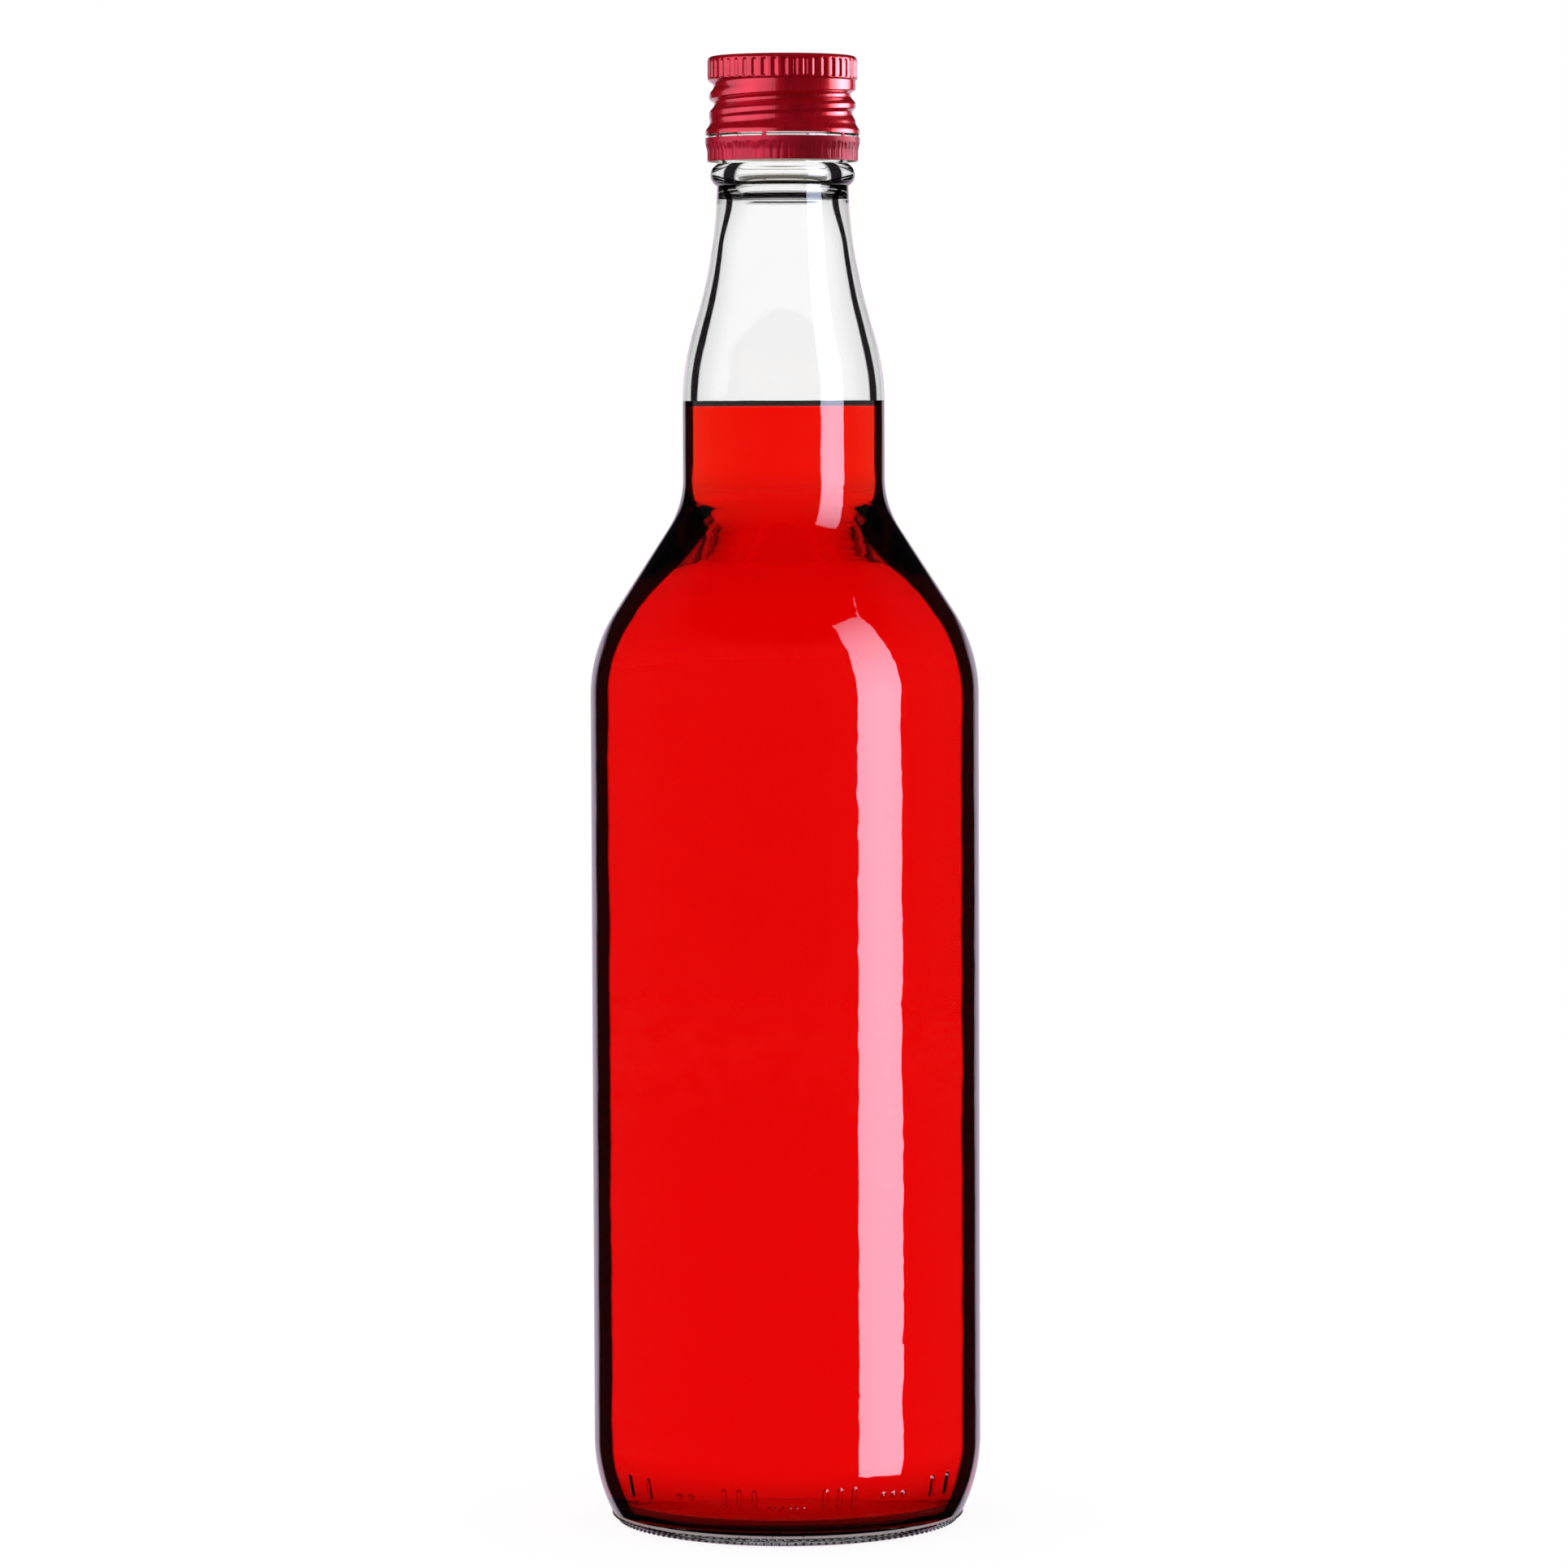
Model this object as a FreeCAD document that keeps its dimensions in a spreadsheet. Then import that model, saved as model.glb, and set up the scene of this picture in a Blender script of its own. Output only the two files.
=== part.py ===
import FreeCAD, Part

# A clear glass bottle with a bulged neck, filled with liquid and closed by a roll-on aluminium cap.
# Millimetres, +Z up. The origin is the middle of the ring that the bottle stands on.

import math
import os
import re

import Sketcher

# Driving sizes: name, value in millimetres, degrees or counts, and what it is
SIZES = [
    ("body_radius", 37.5, "outside of the straight body"),
    ("wall", 2.5, "glass wall of body, shoulder and neck"),
    ("heel_height", 16.5, "where the heel's sweep meets the straight body"),
    ("heel_sweep", 32.0, "large radius of the heel"),
    ("heel_corner", 4.5, "small radius of the heel, down to the standing ring"),
    ("bearing_width", 3.5, "width of the flat standing ring"),
    ("pushup_depth", 3.0, "height of the hollow under the base"),
    ("cavity_floor", 3.6, "height of the cavity's floor at its edge"),
    ("floor_rise", 3.4, "how far the cavity's floor rises to its middle"),
    ("cavity_corner", 9.0, "radius round the cavity's floor"),
    ("shoulder_round", 29.5, "convex radius of the shoulder"),
    ("shoulder_slope", 33.0, "slope of the shoulder from the upright, in degrees"),
    ("shoulder_foot", 18.0, "concave radius between shoulder and neck"),
    ("neck_radius", 19.45, "outside of the neck's bulge"),
    ("bulge_length", 14.83, "straight part of the neck's bulge"),
    ("neck_round", 42.0, "convex radius over the bulge"),
    ("neck_slope", 15.6, "slope of the upper neck from the upright, in degrees"),
    ("neck_foot", 95.0, "concave radius of the upper neck"),
    ("throat_radius", 12.6, "outside of the neck under the transfer ring"),
    ("brim_height", 281.2, "height of the sealing brim"),
    ("brim_round", 0.8, "radius on both edges of the brim"),
    ("ring_drop", 20.7, "middle of the transfer ring below the brim"),
    ("ring_height", 4.2, "height of the transfer ring"),
    ("ring_reach", 1.3, "how far the transfer ring stands out of the throat"),
    ("lock_drop", 13.6, "middle of the locking ring below the brim"),
    ("lock_radius", 14.35, "outside of the locking ring"),
    ("lock_land", 1.2, "height of the locking ring's upright face"),
    ("lock_flank_low", 1.7, "height of the locking ring's lower flank"),
    ("lock_flank_top", 1.3, "height of the locking ring's upper flank"),
    ("finish_radius", 12.5, "outside of the finish between the threads"),
    ("bore_radius", 9.2, "bore of the mouth"),
    ("bore_length", 23.7, "length of the bore below the brim"),
    ("bore_step", 2.0, "height of the step from the bore to the neck's wall"),
    ("thread_radius", 13.6, "crest of the glass thread"),
    ("thread_pitch", 3.45, "rise of the thread in one turn"),
    ("thread_turns", 1.3, "length of the glass thread in turns"),
    ("thread_land", 0.44, "height of the glass thread's crest"),
    ("thread_flank_low", 0.45, "height of the glass thread's steep lower flank"),
    ("thread_flank_top", 1.2, "height of the glass thread's upper flank"),
    ("thread_play", 0.25, "clearance round the crest of the glass thread"),
    ("headspace", 65.2, "from the brim down to the liquid's surface"),
    ("fill_gap", 0.05, "clearance between liquid and glass"),
    ("sheet", 0.25, "aluminium sheet of the cap"),
    ("liner_thickness", 1.75, "sealing disc"),
    ("liner_play", 0.25, "clearance round the sealing disc"),
    ("cap_corner", 0.95, "outer radius of the cap's top edge"),
    ("knurl_proud", 0.28, "how far the knurled rim stands out of the cap's wall"),
    ("knurl_height", 4.45, "height of the knurled rim, from the top"),
    ("flute_count", 45, "flutes round the knurled rim"),
    ("flute_width", 1.2, "mouth of a flute"),
    ("flute_floor", 0.4, "floor of a flute"),
    ("flute_depth", 0.2, "depth of a flute"),
    ("flute_drop", 1.0, "top of the flutes below the top of the cap"),
    ("flute_length", 3.2, "length of a flute"),
    ("groove_drop", 8.85, "lower end of the rolled groove below the brim"),
    ("groove_turns", 1.4, "length of the rolled groove in turns"),
    ("groove_depth", 0.95, "depth of the rolled groove"),
    ("crest_land", 0.75, "height of the plain wall between the groove's turns"),
    ("groove_flank_top", 0.4, "height of the groove's steep upper flank"),
    ("groove_flank_low", 1.1, "height of the groove's lower flank"),
    ("groove_cover", 2.0, "closed wall at each end of the groove, in degrees"),
    ("lock_play", 0.25, "clearance round the locking ring"),
    ("bead_drop", 12.3, "bead over the slit, below the brim"),
    ("bead_flare", 1.1, "height of the flare above the bead"),
    ("skirt_drop", 12.95, "cut edge of the shell below the brim"),
    ("slit_height", 0.65, "slit between shell and band"),
    ("band_height", 4.5, "height of the tamper band"),
    ("band_lip", 0.9, "upright part at the top of the band"),
    ("band_taper", 1.7, "height of the band's taper under the lip"),
    ("band_tuck", 0.15, "how far the band is tucked under the locking ring"),
    ("bridge_width", 3.5, "width of a bridge, in degrees"),
    ("bridge_gap", 0.1, "break between a bridge and the shell's edge"),
    ("bridge_left", 213.0, "place of the left front bridge, in degrees"),
    ("bridge_middle", 256.5, "place of the middle front bridge, in degrees"),
    ("bridge_right", 321.5, "place of the right front bridge, in degrees"),
]
BACK_BRIDGES = 4
FULL_TURN = 360.0

doc = FreeCAD.newDocument("Bottle")
sheet = doc.addObject("Spreadsheet::Sheet", "Sizes")
for row, (alias, number, meaning) in enumerate(SIZES, start=1):
    sheet.set(f"A{row}", meaning)
    sheet.set(f"B{row}", str(number))
    sheet.setAlias(f"B{row}", alias)
doc.recompute()


def bound(formula):
    """Write a formula of size names as an expression of the sheet's cells."""
    names = {alias for alias, _, _ in SIZES}
    return re.sub("[a-z_]+", lambda word: f"Sizes.{word[0]}" if word[0] in names else word[0], formula)


def number_of(formula):
    """Work out a formula of size names."""
    return float(sheet.evalExpression(bound(formula)))


class Outline:
    """A closed sketch whose corners and radii are formulas of the sizes."""

    def __init__(self, sketch, x, y):
        self.sketch = sketch
        self.corners = [(x, y)]
        self.edges = []

    def line(self, x, y):
        """Draw a straight edge to a corner."""
        self.corners.append((x, y))
        self.edges.append(None)
        return self

    def arc(self, x, y, radius, turn):
        """Draw an arc to a corner: turn is 1 anticlockwise, -1 clockwise."""
        self.corners.append((x, y))
        self.edges.append((radius, turn))
        return self

    def facets(self, x, y, radius, first, last, count):
        """Draw a small round about a middle as straight facets, from one angle to another."""
        for step in range(1, count + 1):
            angle = f"({first} + ({last} - ({first})) * {step} / {count})"
            self.line(f"{x} + {radius} * cos({angle})", f"{y} + {radius} * sin({angle})")
        return self

    def close(self):
        """Close the outline with a straight edge and bind it to the sizes."""
        self.edges.append(None)
        points = [FreeCAD.Vector(number_of(x), number_of(y), 0) for x, y in self.corners]
        for index, edge in enumerate(self.edges):
            start, end = points[index], points[(index + 1) % len(points)]
            self.sketch.addGeometry(self._curve(start, end, edge))
        for index, point in enumerate(points):
            before = (index - 1) % len(points)
            here = self._end_at(index, point)
            self._tie("Coincident", before, self._end_at(before, point), index, here)
            for kind, axis, formula in zip(("DistanceX", "DistanceY"), (-2, -1), self.corners[index]):
                if formula == "0":
                    self._tie("PointOnObject", index, here, axis)
                else:
                    self._size(formula, kind, index, here)
        for index, edge in enumerate(self.edges):
            if edge:
                self._size(edge[0], "Radius", index)
        return self.sketch

    def _curve(self, start, end, edge):
        """Make one edge between two points."""
        if edge is None:
            return Part.LineSegment(start, end)
        radius, turn = number_of(edge[0]), edge[1]
        chord = end - start
        across = FreeCAD.Vector(-chord.y, chord.x, 0).normalize() * turn
        height = math.sqrt(max(radius ** 2 - (chord.Length / 2) ** 2, 0))
        crown = (start + end) / 2 - across * (radius - height)
        return Part.Arc(start, crown, end)

    def _end_at(self, edge, point):
        """Tell which end of an edge lies at a point."""
        first = self.sketch.getPoint(edge, 1).distanceToPoint(point)
        return 1 if first < self.sketch.getPoint(edge, 2).distanceToPoint(point) else 2

    def _tie(self, *constraint):
        """Add a constraint without a size."""
        self.sketch.addConstraint(Sketcher.Constraint(*constraint))

    def _size(self, formula, *constraint):
        """Add a constraint whose size follows a formula."""
        index = self.sketch.addConstraint(Sketcher.Constraint(*constraint, number_of(formula)))
        self.sketch.setExpression(f"Constraints[{index}]", bound(formula))


def new_body(label, height="0"):
    """Start a piece whose own zero lies at a height above the standing plane."""
    body = doc.addObject("PartDesign::Body", label)
    body.Label = label
    body.setExpression(".Placement.Base.z", bound(height))
    return body


def origin(body, role):
    """Find one of the piece's own planes or axes."""
    return next(f for f in body.Origin.OriginFeatures if f.Role == role)


def upright_sketch(body, name, angle=None):
    """Start a sketch in the XZ plane, turned about Z to an angle."""
    sketch = body.newObject("Sketcher::SketchObject", name)
    sketch.AttachmentSupport = [(origin(body, "XZ_Plane"), "")]
    sketch.MapMode = "FlatFace"
    if angle is not None:
        turn = FreeCAD.Rotation(FreeCAD.Vector(0, 1, 0), number_of(angle))
        sketch.AttachmentOffset = FreeCAD.Placement(FreeCAD.Vector(), turn)
        sketch.setExpression(".AttachmentOffset.Rotation.Angle", bound(angle))
    doc.recompute()
    return sketch


def level_sketch(body, name, height):
    """Start a sketch in the XY plane, raised to a height."""
    sketch = body.newObject("Sketcher::SketchObject", name)
    sketch.AttachmentSupport = [(origin(body, "XY_Plane"), "")]
    sketch.MapMode = "FlatFace"
    sketch.setExpression(".AttachmentOffset.Base.z", bound(height))
    doc.recompute()
    return sketch


def revolve(body, name, sketch, angle=None, kind="PartDesign::Revolution"):
    """Turn a sketch about its own upright axis, all the way round or over an angle."""
    feature = body.newObject(kind, name)
    feature.Profile = sketch
    feature.ReferenceAxis = (sketch, ["V_Axis"])
    feature.Angle = FULL_TURN
    if angle is not None:
        feature.Midplane = True
        feature.setExpression("Angle", bound(angle))
    doc.recompute()
    return feature


def helix(body, name, sketch, turns, kind="PartDesign::AdditiveHelix"):
    """Sweep a sketch up the right-hand thread."""
    feature = body.newObject(kind, name)
    feature.Profile = sketch
    feature.ReferenceAxis = (sketch, ["V_Axis"])
    feature.Mode = "pitch-turns-angle"
    feature.setExpression("Pitch", bound("thread_pitch"))
    feature.setExpression("Turns", bound(turns))
    doc.recompute()
    return feature


# Heights and radii that several outlines share, as formulas of the sizes
BEARING = "(body_radius - heel_sweep + sqrt((heel_sweep - heel_corner)^2 - (heel_height - heel_corner)^2))"
BEARING_INNER = f"({BEARING} - bearing_width)"
PUSHUP = f"(({BEARING_INNER}^2 + pushup_depth^2) / (2 * pushup_depth))"
PUSHUP_TURN = f"(asin({BEARING_INNER} / {PUSHUP}) / 1 deg)"
HEEL_TURN = "(asin((heel_corner - heel_height) / (heel_sweep - heel_corner)) / 1 deg)"
RING = "(((ring_height / 2)^2 + ring_reach^2) / (2 * ring_reach))"
RING_TURN = f"(asin(ring_height / 2 / {RING}) / 1 deg)"
THROAT_Z = "(brim_height - ring_drop)"
THROAT_R = "(throat_radius + neck_foot * (1 - cos(neck_slope)))"
TAPER_R = "(neck_radius - neck_round * (1 - cos(neck_slope)))"
TAPER_Z = f"({THROAT_Z} - neck_foot * sin(neck_slope) - ({TAPER_R} - {THROAT_R}) / tan(neck_slope))"
BULGE_Z = f"({TAPER_Z} - neck_round * sin(neck_slope))"
NECK_Z = f"({BULGE_Z} - bulge_length)"
FOOT_R = "(neck_radius + shoulder_foot * (1 - cos(shoulder_slope)))"
FOOT_Z = f"({NECK_Z} - shoulder_foot * sin(shoulder_slope))"
SHOULDER_R = "(body_radius - shoulder_round * (1 - cos(shoulder_slope)))"
SHOULDER_Z = f"({FOOT_Z} - ({SHOULDER_R} - {FOOT_R}) / tan(shoulder_slope))"
SHOULDER_START = f"({SHOULDER_Z} - shoulder_round * sin(shoulder_slope))"
STEP_Z = "(brim_height - bore_length - bore_step)"
LOCK_Z = "(brim_height - lock_drop)"
CAP_TOP = "(liner_thickness + sheet)"
CAP_WALL = "(thread_radius + thread_play + sheet)"
BEAD = "(lock_radius + lock_play + sheet)"
KNURL = f"({CAP_WALL} + knurl_proud)"
GROOVE_LAND = "(thread_pitch - crest_land - groove_flank_top - groove_flank_low)"
RIDGE_HALF = f"({GROOVE_LAND} / 2 + sheet / 2)"
BAND_TOP = "(-skirt_drop - slit_height)"
BAND_LOW = "(lock_radius - band_tuck + sheet)"


def draw_cavity(outline, offset):
    """Draw the cavity's wall from the bore down to the floor, an offset inside the glass's outer face."""
    floor = f"(cavity_floor + {offset} - wall)"
    floor_edge = f"(body_radius - {offset} - cavity_corner)"
    dome = f"(({floor_edge}^2 + floor_rise^2) / (2 * floor_rise))"
    dome_turn = f"(asin({floor_edge} / {dome}) / 1 deg)"
    inner_foot = f"(neck_foot + {offset})"
    step_turn = f"(asin(({THROAT_Z} - {STEP_Z}) / {inner_foot}) / 1 deg)"
    outline.line(f"bore_radius + wall - {offset}", "brim_height - bore_length")
    outline.line(f"throat_radius + neck_foot - sqrt({inner_foot}^2 - ({THROAT_Z} - {STEP_Z})^2)", STEP_Z)
    outline.facets(
        "throat_radius + neck_foot", THROAT_Z, inner_foot, f"180 + {step_turn}", "180 + neck_slope", 2)
    outline.line(
        f"neck_radius - neck_round + (neck_round - {offset}) * cos(neck_slope)",
        f"{BULGE_Z} + (neck_round - {offset}) * sin(neck_slope)")
    outline.facets("neck_radius - neck_round", BULGE_Z, f"(neck_round - {offset})", "neck_slope", "0", 2)
    outline.line(f"neck_radius - {offset}", NECK_Z)
    outline.facets(
        "neck_radius + shoulder_foot", NECK_Z, f"(shoulder_foot + {offset})",
        "180", "180 + shoulder_slope", 2)
    outline.line(
        f"body_radius - shoulder_round + (shoulder_round - {offset}) * cos(shoulder_slope)",
        f"{SHOULDER_START} + (shoulder_round - {offset}) * sin(shoulder_slope)")
    outline.facets(
        "body_radius - shoulder_round", SHOULDER_START, f"(shoulder_round - {offset})",
        "shoulder_slope", "0", 2)
    outline.line(f"body_radius - {offset}", f"{floor} + cavity_corner")
    outline.facets(floor_edge, f"{floor} + cavity_corner", "cavity_corner", "0", "-90", 2)
    outline.facets(
        "0", f"{floor} + floor_rise - {dome}", dome, f"90 - {dome_turn}", f"90 - {dome_turn} / 2", 1)
    outline.line("0", f"{floor} + floor_rise")


def make_glass():
    """Blow the bottle: one turned wall with base, shoulder, neck and finish, and the thread on it."""
    body = new_body("glass_bottle")
    outline = Outline(upright_sketch(body, "GlassOutline"), "0", "pushup_depth")
    outline.facets("0", f"pushup_depth - {PUSHUP}", PUSHUP, "90", f"90 - {PUSHUP_TURN}", 2)
    outline.line(BEARING, "0")
    outline.facets(BEARING, "heel_corner", "heel_corner", "-90", HEEL_TURN, 2)
    outline.facets("body_radius - heel_sweep", "heel_height", "heel_sweep", HEEL_TURN, "0", 3)
    outline.line("body_radius", SHOULDER_START)
    outline.arc(SHOULDER_R, SHOULDER_Z, "shoulder_round", 1)
    outline.line(FOOT_R, FOOT_Z)
    outline.arc("neck_radius", NECK_Z, "shoulder_foot", -1)
    outline.line("neck_radius", BULGE_Z)
    outline.arc(TAPER_R, TAPER_Z, "neck_round", 1)
    outline.line(THROAT_R, f"{THROAT_Z} - neck_foot * sin(neck_slope)")
    outline.arc(
        "throat_radius + neck_foot - sqrt(neck_foot^2 - (ring_height / 2)^2)",
        f"{THROAT_Z} - ring_height / 2", "neck_foot", -1)
    outline.facets(f"throat_radius + ring_reach - {RING}", THROAT_Z, RING, f"-{RING_TURN}", RING_TURN, 4)
    outline.line("finish_radius", f"{LOCK_Z} - lock_land / 2 - lock_flank_low")
    outline.line("lock_radius", f"{LOCK_Z} - lock_land / 2")
    outline.line("lock_radius", f"{LOCK_Z} + lock_land / 2")
    outline.line("finish_radius", f"{LOCK_Z} + lock_land / 2 + lock_flank_top")
    outline.line("finish_radius", "brim_height - brim_round")
    outline.line("finish_radius - brim_round", "brim_height")
    outline.line("bore_radius + brim_round", "brim_height")
    outline.line("bore_radius", "brim_height - brim_round")
    draw_cavity(outline, "wall")
    revolve(body, "GlassWall", outline.close())

    root = "finish_radius - thread_play"
    low = f"brim_height - groove_drop + {RIDGE_HALF} + groove_flank_top + thread_play / 2"
    ridge = Outline(upright_sketch(body, "ThreadProfile"), root, f"{low} - thread_flank_low")
    ridge.line("thread_radius", low)
    ridge.line("thread_radius", f"{low} + thread_land")
    ridge.line(root, f"{low} + thread_land + thread_flank_top")
    helix(body, "Thread", ridge.close(), "thread_turns")
    return body


def make_liquid():
    """Fill the cavity to the brim and take away the headspace over the liquid's surface."""
    body = new_body("liquid_fill")
    outline = Outline(upright_sketch(body, "CavityOutline"), "0", "brim_height")
    outline.line("bore_radius - fill_gap", "brim_height")
    draw_cavity(outline, "(wall + fill_gap)")
    revolve(body, "Cavity", outline.close())

    surface = "brim_height - headspace"
    space = Outline(upright_sketch(body, "HeadspaceOutline"), "0", surface)
    space.line("body_radius", surface)
    space.line("body_radius", "brim_height + wall")
    space.line("0", "brim_height + wall")
    cut_away(body, lambda: revolve(body, "Headspace", space.close(), kind="PartDesign::Groove"))
    return body


def make_shell():
    """Press the cap's shell: a turned cup, its rolled thread groove and the flutes of its rim."""
    body = new_body("cap_shell", "brim_height")
    rim_low = f"({CAP_TOP} - knurl_height)"
    outline = Outline(upright_sketch(body, "ShellOutline"), "0", CAP_TOP)
    outline.line("0", "liner_thickness")
    outline.line(f"{CAP_WALL} - sheet", "liner_thickness")
    outline.line(f"{CAP_WALL} - sheet", "-bead_drop + bead_flare")
    outline.line(f"{BEAD} - sheet", "-bead_drop")
    outline.line(f"{BEAD} - sheet", "-skirt_drop")
    outline.line(BEAD, "-skirt_drop")
    outline.line(BEAD, "-bead_drop + sheet / 2")
    outline.line(CAP_WALL, "-bead_drop + bead_flare + sheet / 2")
    outline.line(CAP_WALL, f"{rim_low} - knurl_proud")
    outline.line(KNURL, rim_low)
    outline.line(KNURL, f"{CAP_TOP} - cap_corner")
    outline.facets(f"{KNURL} - cap_corner", f"{CAP_TOP} - cap_corner", "cap_corner", "0", "90", 2)
    revolve(body, "Cup", outline.close())

    inner = f"{CAP_WALL} - groove_depth - sheet"
    sunk = f"{CAP_WALL} - sheet / 2"
    ridge = Outline(upright_sketch(body, "RidgeProfile"), inner, f"-groove_drop - {RIDGE_HALF}")
    ridge.line(sunk, f"-groove_drop - {RIDGE_HALF} - groove_flank_low")
    ridge.line(sunk, f"-groove_drop + {RIDGE_HALF} + groove_flank_top")
    ridge.line(inner, f"-groove_drop + {RIDGE_HALF}")
    helix(body, "Ridge", ridge.close(), "groove_turns")

    bottom = f"{CAP_WALL} - groove_depth"
    mouth = f"{CAP_WALL} + sheet"
    middle = f"-groove_drop + thread_pitch * groove_cover / {FULL_TURN}"
    mouth_low = f"{middle} - {GROOVE_LAND} / 2 - groove_flank_low"
    mouth_top = f"{middle} + {GROOVE_LAND} / 2 + groove_flank_top"
    sketch = upright_sketch(body, "GrooveProfile", angle="groove_cover")
    groove = Outline(sketch, bottom, f"{middle} - {GROOVE_LAND} / 2")
    groove.line(CAP_WALL, mouth_low)
    groove.line(mouth, mouth_low)
    groove.line(mouth, mouth_top)
    groove.line(CAP_WALL, mouth_top)
    groove.line(bottom, f"{middle} + {GROOVE_LAND} / 2")
    turns = f"groove_turns - 2 * groove_cover / {FULL_TURN}"
    cut_away(body, lambda: helix(body, "RolledGroove", groove.close(), turns, "PartDesign::SubtractiveHelix"))

    sketch = level_sketch(body, "FluteProfile", f"{CAP_TOP} - flute_drop")
    flute = Outline(sketch, f"{KNURL} - flute_depth", "-flute_floor / 2")
    flute.line(KNURL, "-flute_width / 2")
    flute.line(f"{KNURL} + sheet", "-flute_width / 2")
    flute.line(f"{KNURL} + sheet", "flute_width / 2")
    flute.line(KNURL, "flute_width / 2")
    flute.line(f"{KNURL} - flute_depth", "flute_floor / 2")
    cut_away(body, lambda: cut_flutes(body, flute.close()))
    return body


def cut_flutes(body, sketch):
    """Cut one flute down the rim and repeat it all round."""
    cut = body.newObject("PartDesign::Pocket", "Flute")
    cut.Profile = sketch
    cut.Type = "Length"
    cut.setExpression("Length", bound("flute_length"))
    doc.recompute()
    pattern = body.newObject("PartDesign::PolarPattern", "Knurl")
    pattern.Originals = [cut]
    pattern.Axis = (origin(body, "Z_Axis"), [""])
    pattern.Angle = FULL_TURN
    pattern.setExpression("Occurrences", bound("flute_count"))
    body.Tip = pattern
    doc.recompute()


def cut_away(body, cut):
    """Make a cut and see that it took something off."""
    before = body.Shape.Volume
    cut()
    if body.Shape.Volume >= before:
        raise RuntimeError(f"a cut in {body.Label} took nothing off")


def make_liner():
    """Cut the sealing disc that the shell presses on the brim."""
    body = new_body("cap_liner", "brim_height")
    edge = f"{CAP_WALL} - sheet - liner_play"
    outline = Outline(upright_sketch(body, "LinerOutline"), "0", "0")
    outline.line(edge, "0")
    outline.line(edge, "liner_thickness")
    outline.line("0", "liner_thickness")
    revolve(body, "Disc", outline.close())
    return body


def make_band():
    """Roll the tamper band under the locking ring, with the bridges that held it to the shell."""
    body = new_body("pilfer_band", "brim_height")
    taper_top = f"{BAND_TOP} - band_lip"
    taper_low = f"{taper_top} - band_taper"
    band_bottom = f"{BAND_TOP} - band_height"
    outline = Outline(upright_sketch(body, "BandOutline"), f"{BEAD} - sheet", BAND_TOP)
    outline.line(f"{BEAD} - sheet", taper_top)
    outline.line(f"{BAND_LOW} - sheet", taper_low)
    outline.line(f"{BAND_LOW} - sheet", band_bottom)
    outline.line(BAND_LOW, band_bottom)
    outline.line(BAND_LOW, taper_low)
    outline.line(BEAD, taper_top)
    outline.line(BEAD, BAND_TOP)
    revolve(body, "Hoop", outline.close())

    places = ["bridge_left", "bridge_middle", "bridge_right"]
    back_step = f"({FULL_TURN} - bridge_right + bridge_left) / {BACK_BRIDGES + 1}"
    places += [f"bridge_right + {step} * {back_step}" for step in range(1, BACK_BRIDGES + 1)]
    for index, place in enumerate(places, start=1):
        sketch = upright_sketch(body, f"BridgeProfile{index}", angle=place)
        bridge = Outline(sketch, f"{BEAD} - sheet", BAND_TOP)
        bridge.line(BEAD, BAND_TOP)
        bridge.line(BEAD, "-skirt_drop - bridge_gap")
        bridge.line(f"{BEAD} - sheet", "-skirt_drop - bridge_gap")
        revolve(body, f"Bridge{index}", bridge.close(), angle="bridge_width")
    return body


pieces = [make_glass(), make_liquid(), make_shell(), make_liner(), make_band()]
doc.recompute()

failed = [o.Label for o in doc.Objects if any(word in o.State for word in ("Invalid", "Error"))]
if failed:
    raise RuntimeError(f"features failed: {failed}")
for piece in pieces:
    shape = piece.Shape
    if shape.isNull() or not shape.isValid() or len(shape.Solids) != 1:
        raise RuntimeError(f"{piece.Label} is not one valid solid")

os.makedirs("parts", exist_ok=True)
for piece in pieces:
    piece.Shape.exportStep(f"parts/{piece.Label}.step")
    print(f"{piece.Label}: {piece.Shape.Volume / 1000:.2f} ml, {len(piece.Shape.Faces)} faces")
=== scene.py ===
"""Looks of a clear glass bottle, filled with a red liquid and closed by a red roll-on screw cap."""

import logging
import math
from contextlib import contextmanager
from dataclasses import dataclass
from enum import IntEnum
from typing import Any, Callable, Iterator, Union

import bmesh
import bpy
from bpy.types import Material, Mesh, Node, NodeSocket, NodeTree, Object
from mathutils import Euler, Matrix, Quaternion, Vector


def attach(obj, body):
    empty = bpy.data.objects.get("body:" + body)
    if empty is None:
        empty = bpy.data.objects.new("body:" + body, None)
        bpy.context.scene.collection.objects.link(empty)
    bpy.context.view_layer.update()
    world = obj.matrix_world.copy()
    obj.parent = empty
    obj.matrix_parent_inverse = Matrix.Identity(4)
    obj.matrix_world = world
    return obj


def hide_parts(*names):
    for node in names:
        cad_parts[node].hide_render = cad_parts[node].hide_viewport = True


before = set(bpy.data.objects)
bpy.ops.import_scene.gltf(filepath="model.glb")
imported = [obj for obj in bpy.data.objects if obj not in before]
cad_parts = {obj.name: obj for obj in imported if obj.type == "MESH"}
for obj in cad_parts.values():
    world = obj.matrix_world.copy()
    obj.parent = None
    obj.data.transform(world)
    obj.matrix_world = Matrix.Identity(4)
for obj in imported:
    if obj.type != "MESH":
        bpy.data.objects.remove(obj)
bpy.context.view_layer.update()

LOG = logging.getLogger("bottle")
MM = 0.001
CLEAR = (1.0, 1.0, 1.0, 1.0)
Number = Union[float, "Term"]


class Surface(IntEnum):
    """Which finish a stretch of a turned outline takes."""

    OUTSIDE = 0
    INSIDE = 1
    WETTED = 2
    CUT_EDGE = 3
    BASE = 4
    TOP = 5


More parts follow.
